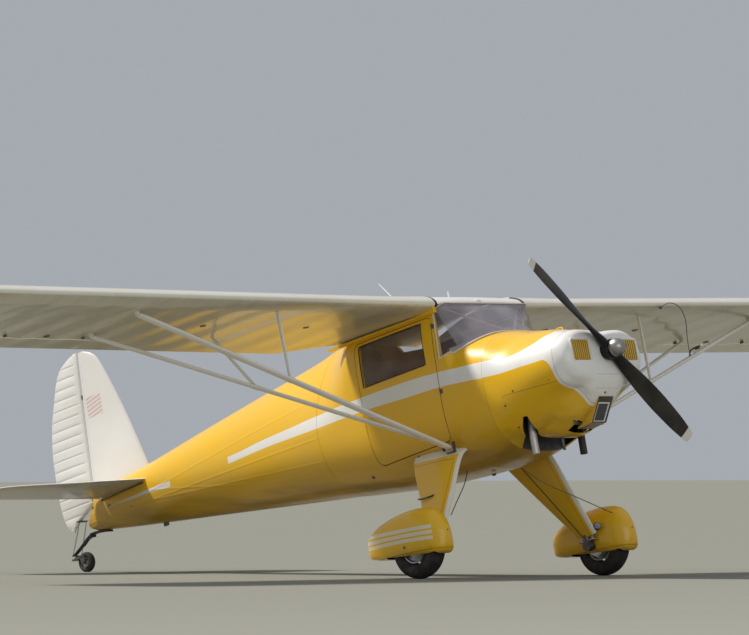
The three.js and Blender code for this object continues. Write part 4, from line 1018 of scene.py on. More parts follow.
# The nose, in half sections from the top centre round to the bottom centre: y, then [x, z] corners.
# Two cheeks stand out beside a chin that slopes aft.
BOWL_SEAM = [
    (0, 160), (120, 172), (235, 174), (330, 142), (402, 84), (434, 0), (424, -110),
    (375, -192), (290, -226), (225, -242), (165, -292), (110, -348), (0, -354),
]
BOWL = [
    (46, [(0, 75), (100, 92), (212, 94), (250, 80), (280, 48), (290, -14), (282, -58),
          (252, -86), (206, -98), (152, -102), (108, -102), (70, -100), (0, -98)]),
    (50, [(0, 105), (110, 122), (222, 124), (278, 104), (318, 58), (332, -14), (320, -76),
          (280, -118), (224, -138), (166, -146), (120, -148), (78, -148), (0, -148)]),
    (62, [(0, 130), (115, 146), (230, 147), (298, 122), (350, 66), (370, -15), (354, -90),
          (304, -145), (238, -172), (176, -184), (130, -194), (84, -200), (0, -202)]),
    (85, [(0, 148), (118, 164), (233, 166), (312, 138), (374, 74), (398, -15), (380, -100),
          (324, -164), (248, -196), (184, -212), (140, -234), (92, -249), (0, -252)]),
    (120, [(0, 160), (120, 174), (235, 176), (325, 148), (392, 80), (418, -15), (400, -108),
           (340, -178), (258, -214), (190, -243), (146, -280), (98, -303), (0, -308)]),
    (170, BOWL_SEAM),
]
COWL = [
    (330, [(0, 236), (125, 238), (252, 216), (352, 152), (428, 66), (458, -36), (446, -140),
           (402, -220), (332, -282), (258, -340), (190, -404), (110, -448), (0, -462)]),
    (500, [(0, 280), (130, 276), (262, 240), (366, 164), (444, 70), (472, -38), (464, -156),
           (426, -258), (364, -336), (284, -408), (200, -466), (105, -506), (0, -520)]),
    (660, [(0, 318), (140, 308), (280, 258), (388, 168), (460, 66), (484, -42), (478, -176),
           (444, -290), (384, -378), (314, -434), (232, -468), (120, -486), (0, -490)]),
]
# The face of the bowl is closed by its first section drawn in towards the hub: y, share of its size
BOWL_FACE = [(41.0, 0.03), (41.4, 0.3), (42.6, 0.62), (44.2, 0.86)]
NOSE_AROUND = 145
BOWL_ROWS, COWL_ROWS = 64, 60
HUB_HOLE, NOSE_WALL = 0.062, 0.007
GRILLE = {"x0": 0.154, "x1": 0.338, "z0": -0.067, "z1": 0.092, "corner": 0.020, "y": 0.058}
OUTLET = [
    (0.568, -0.345), (0.604, -0.345), (0.712, -0.455), (0.860, -0.530),
    (0.860, -0.660), (0.655, -0.660), (0.648, -0.476), (0.596, -0.446),
]


def nose_rows():
    """The bowl's and the cowling's skins as rows of points, one smooth flow from the hub to the firewall."""
    face = [(y, [(x * share, -10 + (z + 10) * share) for x, z in BOWL[0][1]]) for y, share in BOWL_FACE]
    like = np.array(COWL[-1][1], float)
    reached = lengths(like)
    fine = half_oval(SCUTTLE_SKIN(FIREWALL_Y / MM), count=400)
    at = reached / reached[-1] * (len(fine) - 1)
    rear = np.stack([np.interp(at, np.arange(len(fine)), axis) for axis in fine.T], axis=1) / MM
    sections = face + BOWL + COWL + [(FIREWALL_Y / MM, rear)]
    rings = []
    for y, half in sections:
        other = [(-x, z) for x, z in list(half)[-2:0:-1]]
        rings.append([(x * MM, y * MM, z * MM) for x, z in [*half, *other]])
    around = flow(np.array(rings).transpose(1, 0, 2), NOSE_AROUND, closed=True).transpose(1, 0, 2)
    oval = np.array(ring(half_oval(SCUTTLE_SKIN(FIREWALL_Y / MM), count=400), FIREWALL_Y))
    share, reach = [lengths(line) / lengths(line)[-1] for line in (around[-1], oval)]
    around[-1] = np.stack([np.interp(share, reach, axis) for axis in oval.T], axis=1)
    seam = len(face) + len(BOWL) - 1
    knots = chords(around)
    slopes = np.gradient(around, knots, axis=0)
    bowl = hermite(knots, around, slopes, np.linspace(knots[0], knots[seam] - 0.003, BOWL_ROWS))
    cowl = hermite(knots, around, slopes, np.linspace(knots[seam] + 0.004, knots[-1], COWL_ROWS))
    return bowl, cowl


def grille_outline(inset):
    return [
        (GRILLE["x0"] + inset, GRILLE["z0"] + inset), (GRILLE["x1"] - inset, GRILLE["z0"] + inset),
        (GRILLE["x1"] - inset, GRILLE["z1"] - inset), (GRILLE["x0"] + inset, GRILLE["z1"] - inset),
    ]


def cowl_inside(face):
    """1 on the faces that look into the nose, 0 on the others."""
    middle = face.calc_center_median()
    out = Vector((middle.x, -0.12 if middle.y < 0.1 else 0, middle.z + 0.08))
    return int(face.normal.dot(out) < -0.002)


def add_nose():
    bowl, cowl = nose_rows()
    mouths = [on_side(s, slab(grille_outline(0), 1, 0, 0.150, GRILLE["corner"])) for _, s in SIDES]
    shaft = rod((0, 0, 0), (0, 0.14, 0), HUB_HOLE, steps=48)
    shell = carved(walled(skin(bowl), NOSE_WALL), [*mouths, shaft])
    make("nose_bowl_skin", shell, [BOWL_PAINT, SHADED_INSIDE], stands_for=["nose_bowl"],
         material_of=cowl_inside)
    duct_hole = block((-0.122, 0.322, -0.700), (0.122, 0.450, -0.436))
    shell = carved(walled(skin(cowl), NOSE_WALL), [slab(OUTLET, 0, -0.6, 0.6), duct_hole])
    make("cowling_skin", shell, [COWL_PAINT, SHADED_INSIDE], stands_for=["cowling"], material_of=cowl_inside)


# Wing section: station along the chord, upper and lower height, as shares of the thickness
SECTION = [
    [0, 0, 0],
    [0.015, 0.2, -0.13],
    [0.05, 0.4, -0.2],
    [0.13, 0.64, -0.25],
    [0.28, 0.8, -0.22],
    [0.45, 0.77, -0.16],
    [0.62, 0.61, -0.1],
    [0.8, 0.35, -0.05],
    [1, 0.015, -0.015],
]
# Wing plan. Columns: x, leading edge y, trailing edge y, share of the full thickness
WING_PLAN = [
    [462, 1180, 2190, 1],
    [700, 1180, 2330, 1],
    [960, 1180, 2460, 1],
    [4700, 1180, 2460, 1],
    [4960, 1200, 2440, 0.96],
    [5150, 1260, 2370, 0.82],
    [5270, 1365, 2240, 0.6],
    [5320, 1480, 2100, 0.36],
    [5335, 1600, 1960, 0.12],
]
WING_ROOT_X, WING_ROOT_Z, WING_LE_Y = 0.462, 0.660, 1.180
WING_CHORD, WING_THICKNESS = 1.280, 0.150
INCIDENCE, DIHEDRAL = math.radians(2), math.radians(0.7)
AILERON = {"x0": 2.950, "x1": 4.760, "hinge_y": 2.200, "lean": 0.026}
MOVING_GAP = 0.007
FABRIC_SAG = 0.0035
SECTION_STEPS = 33


def section_line(steps=SECTION_STEPS):
    """The wing's section from the trailing edge over the top and back underneath: station and height."""
    upper = [(station, high) for station, high, _ in SECTION]
    lower = [(station, low) for station, _, low in SECTION]
    along = [*upper[::-1], *lower[1:]]
    flat = np.array([(station, height * WING_THICKNESS / WING_CHORD) for station, height in along])
    line = flow(flat, 4 * steps + 1)
    return line / [1, WING_THICKNESS / WING_CHORD]


def wing_z(x):
    return WING_ROOT_Z + (x - WING_ROOT_X) * math.tan(DIHEDRAL)


def underside_z(x, y):
    """The height of the wing's underside over a place in plan."""
    station = (y - WING_LE_Y) / WING_CHORD
    stations, low = [row[0] for row in SECTION], [row[2] for row in SECTION]
    height = np.interp(station, stations, low) * WING_THICKNESS
    return wing_z(x) - (y - WING_LE_Y) * math.sin(INCIDENCE) + height


def wing_rows(s):
    """A wing's sections from root to tip, its covering sagging a little between the ribs."""
    plan = reading(WING_PLAN)
    line = section_line()
    places = np.concatenate([
        np.linspace(WING_ROOT_X, 4.70, 151), np.linspace(4.70, 5.27, 24)[1:],
        np.linspace(5.27, 5.335, 12)[1:],
    ])
    rows = []
    for x in places:
        lead, trail, thick = plan(x / MM) * [MM, MM, 1]
        bay = ((x - RIB_START) / RIB_PITCH) % 1
        sag = FABRIC_SAG * math.sin(math.pi * bay) ** 2 if RIB_START < x < 4.9 else 0
        row = []
        for station, height in line:
            y = lead + station * (trail - lead)
            cloth = min(1, max(0, (station - 0.12) / 0.06)) * min(1, max(0, (0.97 - station) / 0.1))
            z = wing_z(x) - station * (trail - lead) * math.sin(INCIDENCE) + height * thick * WING_THICKNESS
            row.append((s * x, y, z - math.copysign(sag * cloth, height)))
        rows.append(row)
    return rows


def aileron_cutter(s, grow, front):
    """A slab over the aileron's span, its front face leaning with the hinge's cove."""
    lean = AILERON["lean"] * 3
    outline = [(front, 0.9), (front + lean, 0.4), (2.7, 0.4), (2.7, 0.9)]
    return on_side(s, slab(outline, 0, AILERON["x0"] - grow, AILERON["x1"] + grow))


def under_face(face):
    """1 on the faces that look down, 0 on the others."""
    return int(face.normal.z < -0.8)


def add_wings():
    # Faces that look down get the underside's painted shade and reflection.
    finishes = [WING_PAINT, WING_UNDER_SHADED]
    for word, s in SIDES:
        rows = wing_rows(s)
        gap = AILERON["hinge_y"] - 0.024
        wing = carved(skin(rows, close_ends=True), [aileron_cutter(s, MOVING_GAP, gap)])
        make(f"wing_{word}_skin", wing, finishes, stands_for=[f"wing_{word}"], material_of=under_face)
        flap = carved(skin(rows, close_ends=True), [aileron_cutter(s, 0, AILERON["hinge_y"])], "INTERSECT")
        make(f"aileron_{word}_skin", flap, finishes, f"aileron_{word}", [f"aileron_{word}"],
             material_of=under_face)


def add_roof():
    """The curved panel over the cabin, between the wings."""
    line = [(WING_LE_Y + station * WING_CHORD, height) for station, height in section_line()]
    top = [(y, z) for y, z in line[:2 * SECTION_STEPS + 1] if y < 2.328][::-1]
    start = (WING_LE_Y - 0.034, 0)
    rows = []
    for x in np.linspace(-0.456, 0.456, 21):
        crown = 0.006 * (1 - (x / 0.456) ** 2)
        row = []
        for y, high in [start, *top]:
            z = WING_ROOT_Z - (y - WING_LE_Y) * math.sin(INCIDENCE) + high * WING_THICKNESS
            row.append((x, y, z + crown))
        rows.append(row)
    bm = walled(skin(rows), 0.010)
    make("roof_panel", bm, WHITE_PAINT, stands_for=["cabin_roof"])


# Windscreen: one sheet bent round from post to post. Columns: foot x, foot y, head x, head y, head z
SCREEN = [
    [506, 1208, 471, 1223, 612],
    [474, 1150, 455, 1172, 636],
    [440, 1090, 430, 1139, 651],
    [372, 986, 356, 1137, 651],
    [215, 898, 204, 1137, 651],
    [0, 870, 0, 1137, 651],
]


def deck_z(x, y):
    """The height of the nose's skin at a place across and along it."""
    half_width, top, middle, _, upper, _ = SCUTTLE_SKIN(y / MM)
    share = min(0.999, abs(x) / (half_width * MM))
    return (middle + (top - middle) * (1 - share ** upper) ** (1 / upper)) * MM


def screen_lines(count=65):
    """The foot and the head of the windscreen, from its right end to its left."""
    right = [(-foot_x, foot_y, -head_x, head_y, head_z) for foot_x, foot_y, head_x, head_y, head_z in SCREEN]
    rows = np.array(right + SCREEN[-2::-1], float) * MM
    plan = flow([(x, y + 0.002, 0) for x, y in rows[:, :2]], count)
    foot = np.array([(x, y, min(screen_foot_z(y), deck_z(x, y)) + 0.003) for x, y, _ in plan])
    return foot, flow(rows[:, 2:], count)


def add_windscreen():
    foot, head = screen_lines()
    rows = [foot + (head - foot) * share for share in np.linspace(0, 1, 25)]
    make("windscreen_sheet", walled(skin(rows), CLEAR_SHEET), SCREEN_HAZE_AND_REFLECTION, stands_for=["windscreen"])


# Lift struts and jury struts, of streamline section
STRUT_FOOT = Vector((0.478, 1.288, -0.402))
STRUT_REAR_BY = Vector((0, 0.034, 0.024))
STRUT_TOPS = {"front": (3.200, 0.285, 0.019), "rear": (3.090, 0.900, 0.016)}  # x, y behind the nose, gap
STRUT_SIZES = {"front": (0.066, 0.030), "rear": (0.050, 0.024)}  # chord, thickness
JURY_X, JURY_HEAD_X = 1.888, 1.890
JURY = {"front": (0.205, 0.030, 0.013), "rear": (0.900, 0.027, 0.012)}  # y behind the nose, chord, thickness
STRUT_STEPS = 28


def streamline(centre, along, chord, thickness, steps=STRUT_STEPS):
    """One section of a strut: round in front, drawn out behind."""
    across = Vector(along).cross(Vector((0, 1, 0))).normalized()
    aft = Vector(along).cross(across).normalized()
    aft = aft if aft.y > 0 else -aft
    angles = np.linspace(0, 2 * math.pi, steps + 1)
    return [
        Vector(centre) - aft * (math.cos(t) * chord / 2)
        + across * (math.sin(t) * thickness / 2 * (1 + 0.22 * math.cos(t)))
        for t in angles
    ]


def strut(start, end, chord, thickness):
    """A strut with its ends drawn in a little, as they are where the end plugs are welded."""
    start, end = Vector(start), Vector(end)
    along = end - start
    rows = []
    for share, size in ((0, 0.6), (0.006, 0.86), (0.02, 1), (0.5, 1), (0.98, 1), (0.994, 0.86), (1, 0.6)):
        rows.append(streamline(start + along * share, along, chord * (0.5 + size / 2), thickness * size))
    return skin(rows, close_ends=True)


def under_wing(x, behind, gap):
    """A place just below the wing, some way behind its leading edge."""
    y = WING_LE_Y + behind
    return Vector((x, y, underside_z(x, y) - gap))


def strut_lines():
    """The two lift struts of the left side, as (foot, head) by name."""
    front = (STRUT_FOOT, under_wing(*STRUT_TOPS["front"]))
    rear = (STRUT_FOOT + STRUT_REAR_BY, under_wing(*STRUT_TOPS["rear"]))
    return {"front": front, "rear": rear}


def on_line(line, x):
    """The place on a strut's line at x."""
    foot, head = line
    return foot.lerp(head, (x - foot.x) / (head.x - foot.x))


def add_struts():
    lines = strut_lines()
    for word, s in SIDES:
        parts, metal = [], []
        for name, (foot, head) in lines.items():
            parts.append(strut(foot, head, *STRUT_SIZES[name]))
            behind, chord, thickness = JURY[name]
            low = on_line((foot, head), JURY_X)
            high = under_wing(JURY_HEAD_X, behind, 0.008)
            parts.append(strut(low, high, chord, thickness))
            size = STRUT_SIZES[name]
            collar = [streamline(on_line((foot, head), x), head - foot, size[0] + 0.006, size[1] + 0.005)
                      for x in (JURY_X - 0.022, JURY_X + 0.022)]
            metal.append(skin(collar, close_ends=True))
            for end, other in ((head, foot), (foot, head)):
                inward = (other - end).normalized()
                metal.append(rod(end + inward * 0.018 + Vector((0, -0.018, 0)),
                                 end + inward * 0.018 + Vector((0, 0.018, 0)), 0.008, steps=12))
            fork = block((-0.016, -0.011, -0.002), (0.016, 0.011, 0.030), 0.002)
            metal.append(aimed(fork, head, Vector((0.2, 0, 1))))
            lug = block((-0.010, -0.009, -0.002), (0.010, 0.009, 0.016), 0.002)
            metal.append(aimed(lug, high, (0, 0, 1)))
        make(f"struts_{word}", on_side(s, joined(parts)), STRUT_PAINT,
             stands_for=[f"lift_struts_{word}"])
        make(f"strut_fittings_{word}", on_side(s, joined(metal)), STRUT_PAINT)


# Main gear legs. Columns: x, front y, rear y, front z, rear z, thickness
LEG = [
    [380, 1188, 1716, -420, -336, 58],
    [440, 1190, 1704, -452, -392, 60],
    [628, 1197, 1535, -758, -752, 56],
    [802, 1205, 1392, -1062, -1062, 44],
]
AXLE = {"y": 1.310, "z": -1.137, "radius": 0.017}
FOOT_X = 0.802
TYRE = {"radius": 0.222, "half_width": 0.076, "rim": 0.112}


def leg_rows(steps=49, rows=40):
    """The left leg's fairing as streamlined sections from the belly out to the foot."""
    table = reading(LEG)
    angles = np.linspace(0, 2 * math.pi, steps)
    made = []
    for x in np.linspace(LEG[0][0], LEG[-1][0], rows):
        y0, y1, z0, z1, thick = table(x)
        row = []
        for t in angles:
            back = (1 - math.cos(t)) / 2
            swing = math.sin(t) * thick * 0.5 * (1 + 0.35 * math.cos(t))
            row.append(((x + swing * 0.8) * MM, (y0 + back * (y1 - y0)) * MM,
                        (z0 + back * (z1 - z0) + swing * 0.6) * MM))
        made.append(row)
    return made


def add_legs():
    for word, s in SIDES:
        on_axle = lambda x: Vector((x, AXLE["y"], AXLE["z"]))
        body = hull(AFT_SKIN, POST_Y, 2.2, inset=-0.002, close_ends=True)
        nose = hull(SCUTTLE_SKIN, 1.08, POST_Y + 0.01, inset=-0.002, close_ends=True)
        lines = strut_lines()
        feet = [strut(foot, foot.lerp(head, 0.2), size[0] + 0.004, size[1] + 0.004)
                for (foot, head), size in zip(lines.values(), STRUT_SIZES.values())]
        knuckle = rod(STRUT_FOOT - Vector((0, 0.002, 0)), STRUT_FOOT + STRUT_REAR_BY * 1.03, 0.016)
        leg = carved(skin(leg_rows(), close_ends=True), [body, nose, *feet, knuckle])
        make(f"leg_{word}_fairing", on_side(s, leg), LEG_PAINT, stands_for=[f"gear_leg_{word}"])
        metal = [
            rod(on_axle(FOOT_X - 0.02), on_axle(FOOT_X + 0.024), 0.040, steps=32),
            rod(on_axle(FOOT_X), on_axle(HALF_TRACK + 0.064), AXLE["radius"], steps=24),
            rod(on_axle(FOOT_X), on_axle(FOOT_X - 0.012) + Vector((0, -0.008, 0.110)), 0.020, steps=20),
        ]
        make(f"axle_{word}", on_side(s, joined(metal)), FITTING_STEEL)


# Wheel fairings. Columns: y, top z, bottom z, half width
FAIRING = [
    [995, -1082, -1118, 10],
    [1002, -1040, -1165, 34],
    [1016, -1000, -1205, 56],
    [1038, -958, -1228, 76],
    [1072, -914, -1234, 95],
    [1115, -888, -1231, 109],
    [1200, -866, -1218, 120],
    [1300, -857, -1201, 123],
    [1450, -862, -1178, 118],
    [1600, -885, -1155, 101],
    [1690, -913, -1137, 84],
    [1750, -945, -1118, 60],
    [1778, -968, -1104, 36],
    [1788, -990, -1085, 14],
]
WHEEL_WELL = {"y0": 1.072, "y1": 1.580, "top": -1.120, "half": 0.086}
UPPER_SQUARENESS, LOWER_SQUARENESS = 2.2, 4.4


def fairing_rows(inset=0.0, around=73):
    """The fairing of the left wheel: sections set closer together at the rounded ends."""
    columns = flow(np.array(FAIRING, float), 61)
    angles = np.linspace(0, 2 * math.pi, around)
    rows = []
    for y, top, bottom, half in columns * MM:
        row = []
        for t in angles:
            power = 2 / (UPPER_SQUARENESS if math.sin(t) > 0 else LOWER_SQUARENESS)
            across, up = [math.copysign(abs(v) ** power, v) for v in (math.cos(t), math.sin(t))]
            row.append((HALF_TRACK + across * max(half - inset, MM), y,
                        (top + bottom) / 2 + up * max((top - bottom) / 2 - inset, MM)))
        rows.append(row)
    return rows


def fairing_inside(face):
    middle = face.calc_center_median()
    out = Vector((abs(middle.x) - HALF_TRACK, 0, middle.z + 1.06))
    return int(face.normal.dot(Vector((math.copysign(1, middle.x) * out.x, 0, out.z))) < -0.002)


def add_fairings():
    for word, s in SIDES:
        well = WHEEL_WELL
        x0, x1 = HALF_TRACK - well["half"], HALF_TRACK + well["half"]
        outline = [(x0, well["y0"]), (x1, well["y0"]), (x1, well["y1"]), (x0, well["y1"])]
        mouth = slab(outline, 2, -1.4, well["top"], 0.030, 6)
        hub = rod((FOOT_X, AXLE["y"], AXLE["z"]), (HALF_TRACK, AXLE["y"], AXLE["z"]), 0.030, steps=28)
        core = skin(fairing_rows(0.006)[3:-3], close_ends=True)
        shell = carved(skin(fairing_rows(), close_ends=True), [core, mouth, hub])
        make(f"fairing_{word}_shell", on_side(s, shell), [FAIRING_PAINT, SHADED_INSIDE],
             stands_for=[f"wheel_fairing_{word}"], material_of=fairing_inside)


# Tread grooves round the tyre, as places across it, and the rim's profile: radius, distance from the middle
GROOVES = (-0.040, -0.020, 0.0, 0.020, 0.040)
GROOVE = {"half": 0.003, "depth": 0.005}
RIM = [
    (0.020, 0.066), (0.034, 0.066), (0.036, 0.058), (0.058, 0.050), (0.078, 0.040), (0.092, 0.044),
    (0.102, 0.058), (0.110, 0.061), (0.112, 0.058), (0.110, 0.052), (0.100, 0.040), (0.096, 0.020),
    (0.095, 0),
]


def tyre_profile():
    """The tyre's section as [radius, across], with its grooves, closed on itself."""
    middle = (TYRE["radius"] + TYRE["rim"]) / 2
    reach = (TYRE["radius"] - TYRE["rim"]) / 2
    profile = []
    for t in np.linspace(-math.pi, math.pi, 121):
        across = math.copysign(abs(math.sin(t)) ** 0.86, math.sin(t)) * TYRE["half_width"]
        radius = middle + math.copysign(abs(math.cos(t)) ** 0.86, math.cos(t)) * reach
        if math.cos(t) > 0 and any(abs(across - g) < GROOVE["half"] for g in GROOVES):
            radius -= GROOVE["depth"]
        profile.append((radius, across))
    return profile


def add_wheels():
    for word, s in SIDES:
        start, along = (s * HALF_TRACK, AXLE["y"], AXLE["z"]), (s, 0, 0)
        tyre = turned(tyre_profile(), start, along, 96)
        make(f"tyre_{word}_tread", tyre, TYRE_RUBBER, f"wheel_{word}", [f"tyre_{word}"])
        halves = [*RIM, *[(r, -h) for r, h in RIM[-2::-1]], RIM[0]]
        parts = [turned(halves, start, along, 64)]
        for k in range(6):
            turn = k * math.pi / 3
            off = Vector((0, math.cos(turn), math.sin(turn))) * 0.046
            for face in (1, -1):
                middle = Vector(start) + off + Vector((s * face * 0.054, 0, 0))
                parts.append(bolt_head(middle, (s * face, 0, 0), 0.006, 0.004))
        make(f"wheel_{word}_rim", joined(parts), WHEEL_METAL, f"wheel_{word}", stands_for=[f"wheel_{word}"])


# Propeller blade. Columns: share of the radius, chord, thickness, blade angle in degrees
BLADE = [
    [0.04, 80, 76, 55],
    [0.12, 84, 62, 50],
    [0.22, 98, 38, 41],
    [0.4, 128, 24, 30],
    [0.6, 142, 17, 22],
    [0.8, 132, 12, 17],
    [0.94, 106, 9, 14],
    [0.978, 96, 8, 13.5],
    [0.993, 80, 7, 13],
    [1, 52, 5, 13],
]
PROP_RADIUS = 0.940
BLADE_ANGLE = math.radians(45.4)
DOME = [(0, 0), (63, 0), (67, -16), (66, -36), (59, -58), (46, -77), (26, -91), (0, -96)]
HUB_BOLTS = 6


def blade_rows(turn, count=70, around=33):
    """One blade's sections from the hub to the tip, the blade standing at an angle round the hub."""
    table = reading(BLADE)
    radial = Vector((-math.sin(turn), 0, math.cos(turn)))
    travel = Vector((-math.cos(turn), 0, -math.sin(turn)))
    shares = np.concatenate([np.linspace(0.04, 0.94, count), np.linspace(0.94, 1, 20)[1:]])
    rows = []
    for share in shares:
        chord, thick, angle = table(share) * [MM, MM, math.radians(1)]
        along = travel * math.cos(angle) - Vector((0, math.sin(angle), 0))
        across = along.cross(radial)
        leading = 0.18 * min(1, max(0, (share - 0.15) / 0.2))
        row = []
        for t in np.linspace(0, 2 * math.pi, around):
            camber = 1 + leading * math.cos(t)
            row.append(radial * (share * PROP_RADIUS) + along * (math.cos(t) * chord / 2)
                       + across * (math.sin(t) * thick / 2 * camber))
        rows.append(row)
    return rows


def add_propeller():
    aft = (0, 1, 0)
    hub = [(0, -0.042), (0.030, -0.042), (0.030, -0.038), (0.068, -0.038), (0.074, -0.032), (0.074, 0.018),
           (0.068, 0.024), (0.044, 0.024), (0.044, 0.104), (0, 0.104)]
    parts = [turned(hub, (0, 0, 0), aft, 56)]
    for k in range(HUB_BOLTS):
        turn = k * 2 * math.pi / HUB_BOLTS
        middle = Vector((math.cos(turn), 0, math.sin(turn))) * 0.050 + Vector((0, -0.036, 0))
        parts.append(bolt_head(middle, (0, -1, 0), 0.009, 0.008))
    for turn in (BLADE_ANGLE, BLADE_ANGLE + math.pi):
        parts.append(skin(blade_rows(turn), close_ends=True))
    make("propeller_blades", joined(parts), PROP_PAINT, "propeller", ["propeller"])
    dome = flow(np.array([(r, -h) for r, h in DOME[1:]], float) * MM, 24)
    lip = [(0, 0), (0.0600, 0), (0.0625, 0.001)]
    bm = turned([*lip, *[(max(0, r), h) for r, h in dome[1:-1]], (0, 0.096)], (0, -0.043, 0), (0, -1, 0), 64)
    make("spinner_dome", bm, SPINNER_METAL, "propeller", ["spinner"])


GRILLE_BARS = 9


def add_grilles():
    """Each cooling opening's frame and its row of upright bars."""
    y = GRILLE["y"]
    for word, s in SIDES:
        low, high = np.array(grille_outline(-0.004))[[0, 2]]
        corner = GRILLE["corner"]
        turn = np.linspace(0, 2 * math.pi, 49)
        lip = [(np.clip(math.cos(t) * 9, -1, 1), np.clip(math.sin(t) * 9, -1, 1), t) for t in turn]
        middle, reach = (low + high) / 2, (high - low) / 2 - corner
        path = [(middle[0] + sx * reach[0] + corner * math.cos(t), y - 0.002,
                 middle[1] + sz * reach[1] + corner * math.sin(t)) for sx, sz, t in lip]
        make(f"grille_lip_{word}", on_side(s, tube(np.array(path), 0.0085, 12)), BOWL_PAINT)
        outer = slab(grille_outline(0.001), 1, y, y + 0.009, GRILLE["corner"], 6)
        frame_hole = slab(grille_outline(0.006), 1, y - 0.01, y + 0.02, GRILLE["corner"] * 0.8, 5)
        parts = [carved(outer, [frame_hole])]
        pitch = (GRILLE["x1"] - GRILLE["x0"]) / GRILLE_BARS
        for k in range(1, GRILLE_BARS):
            x = GRILLE["x0"] + k * pitch
            parts.append(block((x - 0.0052, y - 0.001, GRILLE["z0"] + 0.003),
                               (x + 0.0052, y + 0.010, GRILLE["z1"] - 0.003), 0.002))
        make(f"grille_{word}", on_side(s, joined(parts)), BAR_YELLOW, stands_for=[f"cooling_grille_{word}"])


INTAKE = [(0.122, -0.316), (0.238, -0.480), (0.380, -0.492), (0.380, -0.380), (0.220, -0.316)]
INTAKE_MOUTH = [(0.090, -0.352), (0.090, -0.468), (0.368, -0.481), (0.368, -0.352)]
INTAKE_BORE = [(0.090, -0.360), (0.090, -0.461), (0.360, -0.474), (0.360, -0.360)]


def intake_side(face):
    """1 on the faces of the intake's two flanks, 0 on the others."""
    return int(abs(face.normal.x) > 0.9 and abs(face.calc_center_median().x) > 0.07)


def mouth_band(near, far):
    """A slab along the intake's sloping mouth, between two depths behind it."""
    top, foot = (Vector((0, *corner)) for corner in INTAKE[:2])
    down = (foot - top).normalized()
    inward = Vector((0, -down.z, down.y))
    ends = ((top, -0.1, near), (foot, 0.1, near), (foot, 0.1, far), (top, -0.1, far))
    return slab([tuple((end + down * past + inward * depth).yz) for end, past, depth in ends], 0, -0.08, 0.08)


def add_intake():
    bowl, cowl = nose_rows()
    solids = [skin(rows, close_ends=True) for rows in (bowl, cowl)]
    outer = slab(INTAKE, 0, -0.076, 0.076)
    shell = carved(outer, [slab(INTAKE_MOUTH, 0, -0.062, 0.062), *solids])
    make("air_intake_box", shell, [INTAKE_PAINT, FUSELAGE_PAINT], stands_for=["air_intake"],
         material_of=intake_side)
    liner = carved(slab(INTAKE_MOUTH, 0, -0.0615, 0.0615), [slab(INTAKE_BORE, 0, -0.053, 0.053)])
    liner = carved(liner, [mouth_band(0.004, 0.018)], "INTERSECT")
    make("air_intake_liner", liner, CLEAN_WHITE)
    plate = carved(slab(INTAKE_MOUTH, 0, -0.0615, 0.0615), [mouth_band(0.012, 0.014)], "INTERSECT")
    make("air_intake_screen", plate, MESH_FINISH)


def add_exhausts():
    for word, s in SIDES:
        route = [(225, 655, -180), (240, 662, -290), (250, 666, -420), (250, 670, -604)]
        line = flow(np.array(route, float) * MM, 40)
        outer = tube(line, 0.027, steps=28)
        last = Vector(line[-1])
        bore = rod(last + Vector((0, 0, 0.06)), last - Vector((0, 0, 0.02)), 0.0245, steps=28)
        # The left pipe takes the metal darkened as painted shade.
        finish = {"right": EXHAUST_METAL, "left": SHADED_EXHAUST_METAL}[word]
        pipe = on_side(s, carved(outer, [bore]))
        make(f"exhaust_{word}_pipe", pipe, finish, stands_for=[f"exhaust_{word}"])


# Tail surfaces. The tailplane's halves are joined by two tubes through the tail cone.
STAB_Z = 0.262
SPAR_Y, SPAR_RADIUS = (4.930, 5.320), 0.010
CONE_HOLES = [(ELEVATOR_Y, 0.020), (SPAR_Y[0], 0.011), (SPAR_Y[1], 0.011)]
ELEVATOR_UP = math.radians(17)
FIN_GAP = 0.012
TAIL_STATIONS = [0, 0.015, 0.06, 0.15, 0.25, 0.42, 0.6, 0.8, 0.93, 1]
TAIL_HEIGHTS = [0, 0.17, 0.32, 0.44, 0.5, 0.49, 0.42, 0.29, 0.19, 0.14]
# Plans. Columns: place along the span, leading edge y, trailing edge y, thickness
FIN = [
    [340, 4858, 34],
    [600, 4937, 34],
    [900, 5037, 32],
    [1050, 5095, 30],
    [1180, 5150, 28],
    [1280, 5196, 24],
    [1350, 5240, 20],
    [1395, 5305, 15],
    [1418, 5372, 8],
]
RUDDER = [
    [98, 258, 5812, 14],
    [118, 236, 5836, 20],
    [149, 200, 5860, 25],
    [208, 88, 5885, 30],
    [265, 0, 5896, 32],
    [400, 0, 5905, 32],
    [650, 0, 5896, 32],
    [920, 0, 5848, 30],
    [1130, 0, 5768, 26],
    [1250, 0, 5718, 22],
    [1340, 0, 5652, 18],
    [1395, 0, 5555, 14],
    [1424, 0, 5474, 8],
]
STAB = [
    [0, 4745, 34],
    [150, 4772, 34],
    [434, 4826, 33],
    [954, 4920, 30],
    [1300, 4982, 25],
    [1430, 5040, 20],
    [1480, 5120, 15],
    [1497, 5220, 8],
]
ELEVATOR = [
    [70, 5500, 26],
    [150, 5690, 26],
    [900, 5690, 24],
    [1200, 5650, 20],
    [1400, 5570, 16],
    [1480, 5490, 12],
    [1500, 5430, 6],
]


def tail_line(y0, y1, thick):
    """A thin even section from the trailing edge round the nose and back: y and half thickness."""
    half = list(zip(TAIL_STATIONS, TAIL_HEIGHTS))
    line = [*half[::-1], *[(station, -height) for station, height in half[1:]]]
    return [(y0 + station * (y1 - y0), height * thick) for station, height in line]


